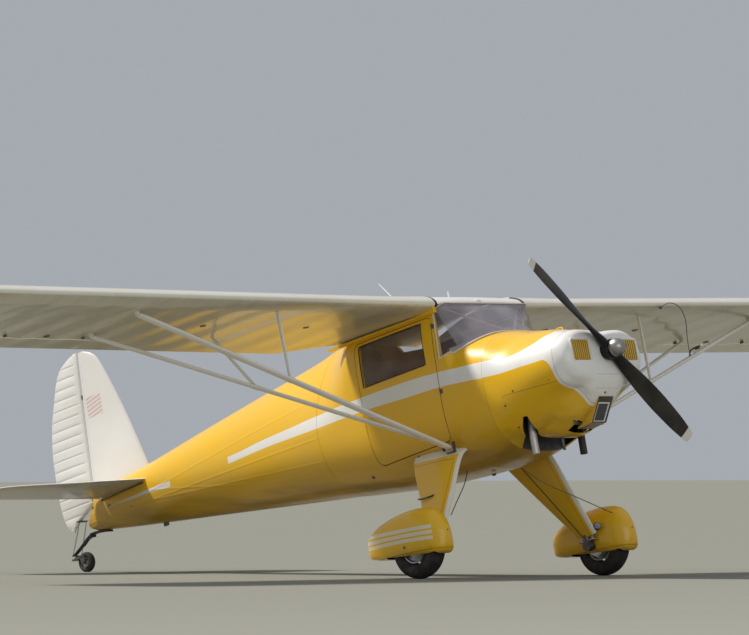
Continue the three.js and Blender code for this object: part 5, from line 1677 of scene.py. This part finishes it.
def surface(places, plan, place_at, bead_from=None):
    """A tail surface: plan gives y0, y1 and thickness at each place; place_at puts a point of it.
    From bead_from on, the sheet has a crimped bead across it at every bead pitch."""
    rows = []
    for p in places:
        y0, y1, thick = plan(p)
        beaded = 0.0
        if bead_from is not None and p > bead_from:
            off = abs((p - bead_from + BEAD["pitch"] / 2) % BEAD["pitch"] - BEAD["pitch"] / 2)
            beaded = BEAD["depth"] * max(0.0, 1 - off / BEAD["half"])
        row = []
        line = tail_line(y0, y1, thick)
        nose_y = line[len(line) // 2][0]
        for i, (y, t) in enumerate(line):
            inner = 0 < i < len(line) - 1 and abs(t) > 0.004 and abs(y - nose_y) > BEAD["start"]
            row.append(place_at(p, y, t - math.copysign(beaded, t) if inner else t))
        rows.append([*row, row[0]])
    return skin(rows, close_ends=True)


def bead_places(low, high, first):
    """Places along a span, set close together at each bead."""
    places = set(np.linspace(low, high, 40))
    at = first
    while at < high:
        near = [at + k * BEAD["half"] / 2 for k in range(-2, 3)]
        places.update(place for place in near if low < place < high)
        at += BEAD["pitch"]
    return sorted(places)


def stern_solid(past=0.05):
    """The fuselage's rear end, to cut the tail's pieces with, reaching a little past the stern."""
    return hull(AFT_SKIN, 4.6, STERN_Y + past, inset=-0.001, close_ends=True)


def add_tail_surfaces():
    upright = lambda z, y, t: (t, y, z)
    fin = reading(FIN)
    plan = lambda z: (fin(z / MM)[0] * MM, rudder_hinge_y(z) - FIN_GAP, fin(z / MM)[1] * MM)
    places = np.concatenate([np.linspace(0.34, 1.30, 40), np.linspace(1.30, 1.418, 18)[1:]])
    fin_body = carved(surface(places, plan, upright), [stern_solid()])
    make("fin_skin", fin_body, FIN_PAINT, stands_for=["fin"])

    rudder = reading(RUDDER)
    plan = lambda z: (rudder_hinge_y(z) + rudder(z / MM)[0] * MM, *(rudder(z / MM)[1:] * MM))
    places = bead_places(0.098, 1.424, FIRST_BEAD["rudder"])
    blade = surface(places, plan, upright, FIRST_BEAD["rudder"])
    make("rudder_skin", blade, RUDDER_PAINT, "rudder", stands_for=["rudder"])

    stab = reading(STAB)
    parts = [rod((-0.26, y, STAB_Z), (0.26, y, STAB_Z), SPAR_RADIUS) for y in SPAR_Y]
    for _, s in SIDES:
        flat = lambda x, y, t: (x, y, STAB_Z + t)
        plan = lambda x: (stab(x / MM)[0] * MM, ELEVATOR_Y - 0.014, stab(x / MM)[1] * MM)
        half = carved(surface(np.linspace(0, 1.496, 60), plan, flat), [stern_solid()])
        parts.append(on_side(s, half))
    # The tailplane's faces that look down get the white with painted shade.
    make("tailplane_skin", joined(parts), [WHITE_PAINT, SHADED_DUSTY_WHITE], stands_for=["tailplane"],
         material_of=under_face)

    elevator = reading(ELEVATOR)
    parts = [rod((-0.09, 0, 0), (0.09, 0, 0), SPAR_RADIUS)]
    for _, s in SIDES:
        flat = lambda x, y, t: (x, y, t)
        plan = lambda x: (0, elevator(x / MM)[0] * MM - ELEVATOR_Y, elevator(x / MM)[1] * MM)
        places = bead_places(0.07, 1.5, FIRST_BEAD["elevator"])
        parts.append(on_side(s, surface(places, plan, flat, FIRST_BEAD["elevator"])))
    bm = joined(parts)
    bm.transform(Matrix.Translation((0, ELEVATOR_Y, STAB_Z)) @ Matrix.Rotation(ELEVATOR_UP, 4, "X"))
    # The elevator's faces that look down get the white with painted shade.
    make("elevator_skin", bm, [ELEVATOR_PAINT, SHADED_DUSTY_WHITE], "elevator", ["elevator"],
         material_of=under_face)


TAIL_WHEEL = {"radius": 0.076, "half_width": 0.027, "y": 5.728, "z": -0.153}


def add_tail_wheel():
    """The leaf spring, the fork that swivels under it and its wheel."""
    spring = [(5400, 15), (5512, 35), (5590, 38), (5650, 20), (5735, -26), (5815, -66), (5850, -80)]
    leaves = []
    for k, reach in enumerate((7, 5, 4)):
        line = flow(np.array(spring[:reach], float) * MM, 30)
        drop = 0.008 - k * 0.0055
        top = [(y + 0.004, z + drop) for y, z in line]
        under = [(y + 0.002, z + drop - 0.005) for y, z in line[::-1]]
        leaves.append(slab([*top, *under], 0, -0.019, 0.019))
    make("tail_spring_leaves", carved(leaves[0], [stern_solid(0)]), SPRING_STEEL, stands_for=["tail_spring"])
    clamp = block((-0.024, 5.600, 0.014), (0.024, 5.622, 0.046), 0.003)
    make("tail_spring_clamp", joined([*leaves[1:], clamp]), SPRING_STEEL)

    wheel = TAIL_WHEEL
    cheek = wheel["half_width"] + 0.009
    fork = [rod((0, 5.826, -0.092), (0, 5.822, -0.106), 0.020, steps=24)]
    crown = block((-cheek - 0.006, wheel["y"] - 0.02, -0.118), (cheek + 0.006, 5.846, -0.104), 0.003)
    fork.append(crown)
    for _, s in SIDES:
        outline = [(wheel["y"] - 0.018, wheel["z"] - 0.018), (wheel["y"] + 0.018, wheel["z"] - 0.018),
                   (wheel["y"] + 0.030, -0.108), (wheel["y"] - 0.020, -0.108)]
        fork.append(on_side(s, slab(outline, 0, cheek, cheek + 0.006, 0.008)))
        fork.append(bolt_head((s * (cheek + 0.006), wheel["y"], wheel["z"]), (s, 0, 0), 0.011, 0.006))
    fork.append(rod((-cheek, wheel["y"], wheel["z"]), (cheek, wheel["y"], wheel["z"]), 0.006))
    make("tail_fork_frame", joined(fork), FITTING_STEEL, "tail_fork", ["tail_fork"])

    r, h = wheel["radius"], wheel["half_width"]
    tyre = [(0.040, -h * 0.8), (0.058, -h), (r - 0.008, -h * 0.86), (r, -h * 0.5), (r, h * 0.5),
            (r - 0.008, h * 0.86), (0.058, h), (0.040, h * 0.8), (0.036, h * 0.4), (0.036, -h * 0.4),
            (0.040, -h * 0.8)]
    profile = flow(np.array(tyre), 60)
    hub = [(0.010, -h * 0.9), (0.018, -h * 0.9), (0.022, -h * 0.4), (0.034, -h * 0.5), (0.0375, -h * 0.7),
           (0.0375, h * 0.7), (0.034, h * 0.5), (0.022, h * 0.4), (0.018, h * 0.9), (0.010, h * 0.9),
           (0.010, -h * 0.9)]
    middle = (0, wheel["y"], wheel["z"])
    make("tail_wheel_tyre", turned(profile, middle, (1, 0, 0), 64), TYRE_RUBBER, "tail_wheel",
         ["tail_wheel"])
    make("tail_wheel_hub", turned(hub, middle, (1, 0, 0), 40), WHEEL_METAL, "tail_wheel")


# Small fittings

def hull_x(y, z):
    """Half the fuselage's width at a place along it and up it."""
    half_width, top, middle, bottom, upper, lower = (SCUTTLE_SKIN if y < POST_Y else AFT_SKIN)(y / MM)
    height = z / MM - middle
    share, power = (height / (top - middle), upper) if height > 0 else (-height / (middle - bottom), lower)
    return half_width * MM * (1 - min(0.999, share) ** power) ** (1 / power)


def on_hull(y, z, out=0.0):
    """A place on the fuselage's left side and the direction out of it there."""
    step = 0.004
    slope_y = (hull_x(y + step, z) - hull_x(y - step, z)) / (2 * step)
    slope_z = (hull_x(y, z + step) - hull_x(y, z - step)) / (2 * step)
    normal = Vector((1, -slope_y, -slope_z)).normalized()
    return Vector((hull_x(y, z), y, z)) + normal * out, normal


def screw(place, along, radius=0.005, height=0.002, steps=10):
    """A domed screw head."""
    profile = [(0, -0.002), (radius, -0.002), (radius, height * 0.3), (radius * 0.6, height), (0, height)]
    return turned(profile, place, along, steps)


def plate(place, along, up, width, height, thick, radius=0.003):
    """A small rounded plate lying on a surface."""
    along, up = Vector(along).normalized(), Vector(up).normalized()
    across = up.cross(along).normalized()
    up = along.cross(across)
    bm = block((-width / 2, -height / 2, -0.002), (width / 2, height / 2, thick), radius)
    turn = Matrix((across, up, along)).transposed().to_4x4()
    bm.transform(Matrix.Translation(place) @ turn)
    return bm


def wing_root_line(count=90):
    """The wing's section at its root as [y, z], from over the front spar round the nose to its rear."""
    line = section_line()
    start = np.argmax(line[:, 0] < 0.10)
    end = len(line) - 1 - np.argmax(line[::-1, 0] < 0.86)
    points = [(WING_LE_Y + station * WING_CHORD,
               WING_ROOT_Z - station * WING_CHORD * math.sin(INCIDENCE) + height * WING_THICKNESS)
              for station, height in line[start:end + 1]]
    return spread(points, count)


def add_root_seals():
    """The dark sealing strip round each wing root and the yellow filler under it."""
    line = wing_root_line()
    front = line[:34]
    for word, s in SIDES:
        thick = tube(np.array([(WING_ROOT_X - 0.002, y, z) for y, z in front]), 0.0095, 10)
        thin = tube(np.array([(WING_ROOT_X + 0.003, y, z) for y, z in line[33:]]), 0.0035, 8)
        make(f"wing_seal_{word}", on_side(s, joined([thick, thin])), RUBBER)
        places = np.linspace(1.192, 2.326, 24)
        outline = [(1.192, ROOF_Z - 0.004), *[(y, underside_z(WING_ROOT_X, y) - 0.003) for y in places],
                   (2.326, ROOF_Z - 0.004)]
        filler = slab(outline, 0, 0.452, 0.490)
        make(f"root_filler_{word}", on_side(s, filler), FUSELAGE_PAINT)


FLANGE = {"low": 0.240, "high": 0.612, "inner_x": 0.450, "outer_x": 0.5035}


def add_screen_trim():
    """Pale retaining strips round the windscreen's edges and the yellow flanges behind its rear ones."""
    foot, head = screen_lines()
    lift = Vector((0, -0.001, 0.004))
    strip = tube(np.array([Vector(point) + lift for point in foot]), 0.0055, 8)
    rising = head - foot
    rising /= np.linalg.norm(rising, axis=1)[:, None]
    band = skin([foot + rising * height - [0, 0.0025, 0] for height in (0.0, 0.008, 0.016)])
    parts = [strip, walled(band, 0.0015)]
    for end in (0, -1):
        start, top = Vector(foot[end]), Vector(head[end])
        edge = [start + (top - start) * t + Vector((0, -0.004, 0)) for t in (0, 0.5, 1)]
        parts.append(tube(np.array(edge), 0.0065, 8))
    parts.append(tube(np.array([Vector(point) + Vector((0, -0.003, 0.002)) for point in head]), 0.004, 8))
    make("screen_trim", joined(parts), TRIM_PAINT)
    low, high, inner = FLANGE["low"], FLANGE["high"], FLANGE["inner_x"]
    outer = [(min(hull_x(POST_FRONT_Y, z), FLANGE["outer_x"]) - 0.001, z) for z in np.linspace(low, high, 24)]
    outline = [(inner, low), *outer, (inner, high)]
    flange = slab(outline, 1, POST_FRONT_Y - 0.004, POST_FRONT_Y + 0.004)
    clips = block((0.462, 1.212, 0.600), (0.484, 1.224, 0.622), 0.002)
    make("post_flanges", joined([flange, mirrored(flange.copy())]), FUSELAGE_PAINT)
    make("post_clips", joined([clips, mirrored(clips.copy())]), TRIM_PAINT)


def dome(place, radius, height, steps=28):
    """A low dome standing up, or hanging with its height below 0."""
    arc = [(max(0, radius * math.cos(t)), height * math.sin(t)) for t in np.linspace(0, math.pi / 2, 9)]
    return turned([(0, -0.006), (radius, -0.006), *arc], place, (0, 0, 1), steps)


def add_roof_fittings():
    """Two low domes, a stub mast and the whip antenna's foot, and a small loop on the cowling."""
    parts = [dome((0, 1.518, 0.777), 0.062, 0.018), dome((0, 1.223, 0.692), 0.040, 0.014)]
    parts.append(rod((0, 1.475, 0.780), (0, 1.475, 0.836), 0.0075, 0.005, 14))
    parts.append(turned([(0, -0.004), (0.020, -0.004), (0.016, 0.006), (0.0085, 0.020), (0, 0.020)],
                        (-0.120, 1.815, 0.774), (0, 0.64, 0.77), 20))
    make("roof_fittings", joined(parts), CLEAN_WHITE)
    loop = [(0.02, 0.44, 0.262), (0.03, 0.45, 0.284), (0.05, 0.50, 0.296), (0.07, 0.55, 0.294),
            (0.08, 0.56, 0.272)]
    make("cowl_loop", tube(loop, 0.005, 10, 24), COWL_PAINT)


# The bracket at a strut's foot: the corners of its plates, from the foot
STRUT_BRACKET = [
    [(-0.012, -0.042, -0.030), (0.014, -0.034, 0.042)],
    [(-0.012, 0.062, -0.006), (0.014, 0.070, 0.046)],
    [(-0.016, -0.044, -0.036), (0.020, 0.030, -0.028)],
]


def add_door_fittings():
    """Hinges, handles, window seals and the strut feet's brackets on the fuselage's sides."""
    door_height = DOOR["top"] - DOOR["bottom"]
    lean = DOOR["front_bottom"] - DOOR["front_top"]
    for word, s in SIDES:
        hinges = []
        for z in (0.500, 0.017):
            y = DOOR["front_top"] + lean * (DOOR["top"] - z) / door_height - 0.003
            place, normal = on_hull(y, z, 0.001)
            hinges.append(rod(place - Vector((0, 0, 0.022)), place + Vector((0, 0, 0.022)), 0.0045, steps=12))
            hinges.append(plate(on_hull(y - 0.016, z)[0], normal, (0, 0, 1), 0.022, 0.034, 0.0018, 0.0008))
            for dz in (-0.010, 0.010):
                hinges.append(screw(on_hull(y - 0.018, z + dz, 0.002)[0], normal, 0.003, 0.0012, 8))
        make(f"door_hinges_{word}", on_side(s, joined(hinges)), FITTING_STEEL)
        place, normal = on_hull(1.985, 0.010)
        boss = [(0, -0.002), (0.016, -0.002), (0.016, 0.003), (0.007, 0.005), (0.007, 0.016), (0, 0.016)]
        handle = [turned(boss, place, normal, 24)]
        grip = [place + normal * 0.017 + Vector((0, -t, -0.10 * t)) for t in (-0.010, 0.03, 0.07, 0.095)]
        handle.append(tube(np.array(grip), 0.0052, 10, 16, 0.0040))
        make(f"door_handle_{word}", on_side(s, joined(handle)), WHEEL_METAL, f"door_{word}")
        low, high = WINDOW["bottom"] - 0.002, WINDOW["top"] + 0.002
        corners = [(WINDOW["front_top"], high), (WINDOW["front_bottom"], low), (WINDOW["rear"], low),
                   (WINDOW["rear"], high), (WINDOW["front_top"], high)]
        path = spread(corners, 97)
        ring_line = np.array([tuple(on_hull(y, z, -0.002)[0]) for y, z in path])
        make(f"window_seal_{word}", on_side(s, tube(ring_line, 0.0042, 8)), RUBBER, f"door_{word}")

        dark = []
        for low, high in STRUT_BRACKET:
            dark.append(block(STRUT_FOOT + Vector(low), STRUT_FOOT + Vector(high), 0.002))
        bolt = [STRUT_FOOT + Vector(end) for end in ((0.002, -0.050, 0), (0.002, 0.078, 0.022))]
        dark.append(rod(*bolt, 0.0075, steps=14))
        for y, z in ((1.661, -0.372), (2.228, -0.378)):
            place, normal = on_hull(y, z)
            knob = [(0, -0.003), (0.014, -0.003), (0.014, 0.003), (0.008, 0.009), (0, 0.010)]
            dark.append(turned(knob, place, normal, 20))
        peg = [(0.640, 1.375, -0.726), (0.652, 1.40, -0.730), (0.652, 1.50, -0.728), (0.648, 1.535, -0.720)]
        dark.append(tube(peg, 0.0065, 10, 24))
        brake_line = [(0.300, 1.329, -0.560), (0.420, 1.268, -0.672), (0.640, 1.156, -0.818),
                      (0.846, 1.052, -0.956)]
        dark.append(tube(brake_line, 0.0035, 8, 30))
        make(f"side_fittings_{word}", on_side(s, joined(dark)), FITTING_STEEL)


def add_nose_fittings():
    """Cowling fasteners, the breather, the intake's bracket and the belly's drain."""
    marks = []
    fasteners = [(0.258, -0.158, 0.423), (0.579, -0.157, 0.472), (PANEL_EDGE_Y, -0.400, 0.368),
                 (PANEL_EDGE_Y, -0.240, 0.466)]
    for y, z, x in fasteners:
        for s in (1, -1):
            marks.append(screw((s * x, y, z), (s, 0, -0.25 if z > -0.3 else -0.9), 0.0085, 0.003, 14))
    stud = [(0, -0.003), (0.010, -0.003), (0.008, 0.004), (0, 0.005)]
    marks.append(turned(stud, (-0.020, 0.108, -0.290), (0, -0.9, -0.4), 14))
    breather = [(-0.060, 0.560, -0.470), (-0.062, 0.565, -0.540), (-0.064, 0.560, -0.600)]
    marks.append(tube(breather, 0.011, 14, 20))
    marks.append(block((-0.150, 0.336, -0.470), (-0.078, 0.344, -0.430), 0.002))
    marks.append(block((0.078, 0.336, -0.470), (0.150, 0.344, -0.430), 0.002))
    marks.append(dome((0, 1.357, -0.577), 0.018, -0.016, 20))
    make("nose_fittings", joined(marks), FITTING_STEEL)


def add_wheel_fittings():
    """Brake parts, foot bolts and fairing fasteners beside each main wheel."""
    for word, s in SIDES:
        pale = [block((0.792, 1.232, -1.106), (0.868, 1.392, -1.098), 0.002)]
        pale.append(block((0.800, 1.250, -1.098), (0.812, 1.262, -1.040), 0.002))
        pale.append(block((0.800, 1.352, -1.098), (0.812, 1.364, -1.040), 0.002))
        disc = [(0.040, -0.003), (0.080, -0.003), (0.080, 0.003), (0.040, 0.003), (0.040, -0.003)]
        pale.append(turned(disc, (0.884, AXLE["y"], AXLE["z"]), (1, 0, 0), 48))
        drum = [(0, -0.016), (0.028, -0.016), (0.030, -0.010), (0.030, 0.012), (0.024, 0.018), (0, 0.018)]
        dark = [turned(drum, (0.812, 1.196, -1.018), (-0.5, -0.8, 0), 28)]
        dark.append(rod((0.806, 1.204, -1.020), (0.802, 1.256, -1.060), 0.009, steps=14))
        hose = [(0.806, 1.222, -1.026), (0.818, 1.262, -1.076), (0.846, 1.300, -1.110)]
        dark.append(tube(hose, 0.005, 10, 20))
        for y in (1.244, 1.372):
            dark.append(bolt_head((0.830, y, -1.098), (0, 0, 1), 0.009, 0.008))
        cap = [(0, -0.004), (0.013, -0.004), (0.013, 0.001), (0.009, 0.003), (0.005, 0.001), (0, 0.001)]
        dark.append(turned(cap, (HALF_TRACK + 0.119, 1.340, -1.124), (1, 0, 0), 24))
        make(f"axle_fittings_{word}", on_side(s, joined(dark)), FITTING_STEEL)
        make(f"brake_plate_{word}", on_side(s, joined(pale)), WHEEL_METAL)


def add_wing_fittings():
    """Aileron hinges, inspection covers, and the airspeed pipe with its pressure head."""
    for word, s in SIDES:
        parts = []
        for x in (3.10, 3.855, 4.61):
            y = AILERON["hinge_y"] - 0.012
            z = underside_z(x, y)
            parts.append(block((x - 0.004, y - 0.046, z - 0.012), (x + 0.004, y - 0.014, z + 0.004), 0.001))
        for x, y in ((1.254, 1.750), (2.263, 1.780), (3.451, 2.160)):
            z = underside_z(x, y)
            cover = [(0, -0.002), (0.024, -0.002), (0.022, 0.003), (0.010, 0.004), (0, 0.002)]
            parts.append(turned(cover, (x, y, z), (0, -0.03, -1), 28))
        make(f"wing_fittings_{word}", on_side(s, joined(parts)), FITTING_STEEL)
    pipe = [(1.920, 1.172, 0.650), (1.985, 1.142, 0.676), (2.070, 1.130, 0.650), (2.140, 1.150, 0.570),
            (2.230, 1.245, 0.430), (2.372, 1.380, 0.330)]
    parts = [tube(pipe, 0.0032, 10, 50)]
    parts.append(rod((1.930, 1.170, 0.646), (1.914, 1.178, 0.652), 0.010, steps=16))
    head = [(2.395, 1.402, 0.340), (2.393, 1.385, 0.372), (2.390, 1.345, 0.382), (2.390, 1.270, 0.384)]
    parts.append(tube(head, 0.0062, 12, 30))
    parts.append(block((2.380, 1.290, 0.366), (2.400, 1.330, 0.378), 0.003))
    make("airspeed_pipe", joined(parts), FITTING_STEEL)
    ball = bmesh.new()
    bmesh.ops.create_uvsphere(ball, u_segments=20, v_segments=12, radius=0.013)
    bmesh.ops.translate(ball, verts=ball.verts, vec=(2.390, 1.262, 0.384))
    make("pressure_head", ball, CLEAN_WHITE)


COIL_TURNS, COIL_RADIUS = 16, 0.0055


def add_tail_fittings():
    """Rudder hinges and horn, the steering arms with their springs and the small plates on the stern."""
    parts = []
    for y, z in ((5.534, 0.289), (5.548, 0.226)):
        parts.append(block((-0.020, y - 0.012, z - 0.012), (0.020, y + 0.002, z + 0.012), 0.003))
        parts.append(rod((0, y, z - 0.018), (0, y, z + 0.018), 0.006, steps=12))
    on_fin = Vector((fin_half(5.462, 1.077), 5.462, 1.077))
    for s in (1, -1):
        parts.append(on_side(s, plate(*on_hull(5.279, 0.180), (0, 0.2, 1), 0.036, 0.012, 0.003, 0.001)))
        parts.append(on_side(s, plate(*on_hull(5.001, 0.104), (0, 0, 1), 0.016, 0.010, 0.002, 0.001)))
        parts.append(on_side(s, plate(on_fin, (1, 0, 0), (0, 0, 1), 0.010, 0.032, 0.003, 0.001)))
    parts.append(block((-0.010, 4.780, -0.100), (0.010, 4.826, -0.070), 0.004))
    make("tail_fittings", joined(parts), FITTING_STEEL)
    arms = [block((-0.050, 5.812, -0.086), (0.050, 5.830, -0.080), 0.002)]
    for s in (1, -1):
        start = Vector((s * 0.044, 5.820, -0.080))
        end = Vector((s * 0.036, 5.692, 0.158))
        arms.append(rod(start, start.lerp(end, 0.22), 0.0022, steps=8))
        arms.append(rod(start.lerp(end, 0.78), end, 0.0022, steps=8))
        coil = []
        across = (end - start).normalized()
        side, up = across.orthogonal().normalized(), across.cross(across.orthogonal()).normalized()
        for t in np.linspace(0, 1, 180):
            turn = t * 2 * math.pi * COIL_TURNS
            centre = start.lerp(end, 0.22 + 0.56 * t)
            coil.append(centre + side * (COIL_RADIUS * math.cos(turn)) + up * (COIL_RADIUS * math.sin(turn)))
        arms.append(tube(np.array(coil), 0.0013, 6))
    make("tail_steering", joined(arms), SPRING_STEEL)
    horn = block((-0.046, 5.682, 0.157), (0.046, 5.722, 0.163), 0.002)
    make("rudder_horn", horn, SPRING_STEEL, "rudder")


# The bench's pads, left half: side-view outlines in [y, z], the first two corners on the side that rests on
# the frame, and how far a cover may be pushed out
PADS = {
    "cushion": [(1.578, -0.298), (1.960, -0.322), (1.964, -0.248), (1.578, -0.214)],
    "back": [(2.074, -0.296), (2.166, 0.222), (2.126, 0.228), (1.986, -0.285)],
}
PAD_X = (0.008, 0.396)
PAD_REACH = 0.024
PAD_GRID = 0.006
COVER_FRAMES = 20
# How near a cover's point has to be to a seam, or to a corner, to stay where it is
SEAM_HOLD, CORNER_HOLD = 0.007, 0.016


# The tube frame under them: its rails, their uprights behind the backrests and the bars across
SEAT_RAIL_X, SEAT_BAR_X, SEAT_FLOOR_Z = 0.300, 0.385, -0.413
SEAT_RAIL = ((1.600, -0.308), (1.940, -0.330))
SEAT_UPRIGHT = ((1.940, -0.330), (2.080, -0.300), (2.172, 0.200))


def off_line(point, start, end):
    """How far a point is from a line's nearest place."""
    along = end - start
    share = max(0, min(1, (point - start).dot(along) / along.length_squared))
    return (point - start - along * share).length


def stuffed(piece, held):
    """Fills a pad out: its cover is pushed from inside, no point further than its reach, while the points for
    which held is true stay. The result gives the shift of the cover at a place."""
    even = piece.modifiers.new("even", "REMESH")
    even.mode, even.voxel_size, even.use_smooth_shade = "VOXEL", PAD_GRID, True
    mesh = bpy.data.meshes.new_from_object(piece.evaluated_get(bpy.context.evaluated_depsgraph_get()))
    piece.modifiers.clear()
    cloth = piece.data.materials[0]
    mesh.name, piece.data = piece.name, mesh
    mesh.materials.clear()
    mesh.materials.append(cloth)
    begun = np.array([corner.co[:] for corner in mesh.vertices])
    moved = np.zeros_like(begun)
    still = piece.vertex_groups.new(name="held")
    still.add([corner.index for corner in mesh.vertices if held(corner.co)], 1.0, "REPLACE")
    cover = piece.modifiers.new("cover", "CLOTH")
    cover.settings.quality = 4
    cover.settings.mass = 0.2
    cover.settings.tension_stiffness = cover.settings.compression_stiffness = 1.5
    cover.settings.shear_stiffness = 1
    cover.settings.bending_stiffness = 0.1
    cover.settings.vertex_group_mass = still.name
    cover.settings.use_pressure = True
    cover.settings.uniform_pressure_force = 4
    cover.settings.effector_weights.gravity = 0
    cover.point_cache.frame_start, cover.point_cache.frame_end = 1, COVER_FRAMES
    for frame_number in range(1, COVER_FRAMES + 1):
        bpy.context.scene.frame_set(frame_number)
    blown = piece.evaluated_get(bpy.context.evaluated_depsgraph_get()).data
    moved = np.array([corner.co[:] for corner in blown.vertices]) - begun
    piece.modifiers.remove(cover)
    bpy.context.scene.frame_set(1)
    far = np.linalg.norm(moved, axis=1)[:, None]
    moved *= np.minimum(1, PAD_REACH / np.maximum(far, 1e-9))
    mesh.vertices.foreach_set("co", (begun + moved).ravel())
    mesh.update()
    fine = piece.modifiers.new("fine", "SUBSURF")
    fine.levels = fine.render_levels = 1

    def shift(place):
        nearest = np.argmin(np.linalg.norm(begun - np.array(TO_ROW @ Vector(place)), axis=1))
        return TO_ROW.to_3x3().inverted() @ Vector(moved[nearest])
    return shift


def add_seat():
    """The bench's two cushions and two backrests, stuffed under cloth, their edges piped, on a tube frame."""
    for word, s in SIDES:
        for name, outline in PADS.items():
            corners = [Vector((x, y, z)) for x in PAD_X for y, z in outline]
            rests = [Vector((0, *outline[i])) for i in (0, 1)]
            seams = []
            for share in (1 / 3, 2 / 3):
                x = PAD_X[0] + (PAD_X[1] - PAD_X[0]) * share
                seams.append(tuple(Vector((x, *outline[i])) for i in (2, 3)))

            def held(place):
                place = TO_ROW.inverted() @ place
                place.x *= s
                flat = Vector((0, place.y, place.z))
                to_seam = min(off_line(flat, *rests), *(off_line(place, *seam) for seam in seams))
                to_corner = min((place - corner).length for corner in corners)
                return to_seam < SEAM_HOLD or to_corner < CORNER_HOLD

            pad = on_side(s, slab(outline, 0, *PAD_X, radius=0.010))
            piece = make(f"seat_{name}_{word}", pad, SEAT_CLOTH, stands_for=["seat_bench"])
            shift = stuffed(piece, held)
            inner, outer = PAD_X
            around = ((2, inner), (2, outer), (3, outer), (3, inner), (2, inner))
            edge = [(x, *outline[i]) for i, x in around]
            path = [Vector((s * x, y, z)) for x, y, z in spread(edge, 121)]
            piping = tube(np.array([place + shift(place) for place in path]), 0.0042, 8)
            make(f"seat_{name}_piping_{word}", piping, PIPING)
    bars = []
    for x in (SEAT_RAIL_X, -SEAT_RAIL_X):
        for y, z in SEAT_RAIL:
            bars.append(rod((x, y, SEAT_FLOOR_Z), (x, y, z + 0.002), 0.010, steps=14))
        bars.append(rod(*[(x, *end) for end in SEAT_RAIL], 0.010, steps=14))
        bars.append(tube([(x, y, z) for y, z in SEAT_UPRIGHT], 0.009, 10, 24))
    for y, z in (*SEAT_RAIL, (2.172, 0.196)):
        bars.append(rod((-SEAT_BAR_X, y, z), (SEAT_BAR_X, y, z), 0.010, steps=14))
    make("seat_frame", joined(bars), TUBE_PAINT)


# Columns: x, z, radius
DIALS = [(-0.290, 0.120, 0.038), (-0.195, 0.120, 0.038), (-0.105, 0.100, 0.028), (0.0, 0.120, 0.038),
         (0.105, 0.100, 0.028), (0.195, 0.120, 0.038), (0.290, 0.120, 0.038)]
PANEL_REAR_Y = 1.1095


def add_dials():
    """Round dials with bare ticks and pointers, and a row of knobs, on the panel's rear face."""
    rims, faces, marks = [], [], []
    for i, (x, z, radius) in enumerate(DIALS):
        centre = Vector((x, PANEL_REAR_Y, z))
        rims.append(turned([(radius - 0.004, 0), (radius + 0.004, 0), (radius + 0.003, 0.007),
                            (radius - 0.003, 0.007), (radius - 0.004, 0)], centre, (0, 1, 0), 36))
        faces.append(turned([(0, -0.001), (radius - 0.002, -0.001), (radius - 0.002, 0.002), (0, 0.002)],
                            centre, (0, 1, 0), 36))
        for turn in np.linspace(0.7, 2 * math.pi - 0.7, 13):
            ray = Vector((math.sin(turn), 0, -math.cos(turn)))
            marks.append(rod(centre + ray * radius * 0.72 + Vector((0, 0.0024, 0)),
                             centre + ray * radius * 0.88 + Vector((0, 0.0024, 0)), 0.0007, steps=6))
        ray = Vector((math.sin(1.1 + i), 0, math.cos(1.1 + i)))
        foot = centre + Vector((0, 0.0034, 0))
        marks.append(rod(foot, centre + ray * radius * 0.7 + Vector((0, 0.0034, 0)), 0.0011, 0.0005, 8))
    for x in (-0.15, -0.05, 0.05, 0.15):
        rims.append(turned([(0, 0), (0.005, 0), (0.005, 0.010), (0.010, 0.014), (0.010, 0.022), (0, 0.024)],
                           (x, PANEL_REAR_Y, 0.020), (0, 1, 0), 20))
    make("dial_rims", joined(rims), FITTING_STEEL)
    make("dial_faces", joined(faces), INTAKE_PAINT)
    make("dial_marks", joined(marks), CLEAN_WHITE)


def fin_half(y, z):
    """Half the fin's thickness at a place on it."""
    lead, thick = reading(FIN)(z / MM)
    share = (y - lead * MM) / (rudder_hinge_y(z) - FIN_GAP - lead * MM)
    return thick * MM * float(np.interp(share, TAIL_STATIONS, TAIL_HEIGHTS))


KEPT_FINISHES = {
    "engine_block": ENGINE_FINISH,
    "cabin_floor": FLOOR_FINISH,
    "instrument_panel": PANEL_FINISH,
    "control_sticks": PANEL_FINISH,
    "cabin_brace": TUBE_PAINT,
    "whip_antenna": CLEAN_WHITE,
}

add_camera()
add_studio()
add_cabin()
add_tail_cone()
add_nose()
add_wings()
add_roof()
add_windscreen()
add_struts()
add_legs()
add_fairings()
add_wheels()
add_propeller()
add_grilles()
add_intake()
add_exhausts()
add_tail_surfaces()
add_tail_wheel()
add_root_seals()
add_screen_trim()
add_roof_fittings()
add_door_fittings()
add_nose_fittings()
add_wheel_fittings()
add_wing_fittings()
add_tail_fittings()
add_dials()
add_seat()
for node, finish in KEPT_FINISHES.items():
    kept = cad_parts[node].data.materials
    kept.clear()
    kept.append(finish.material)
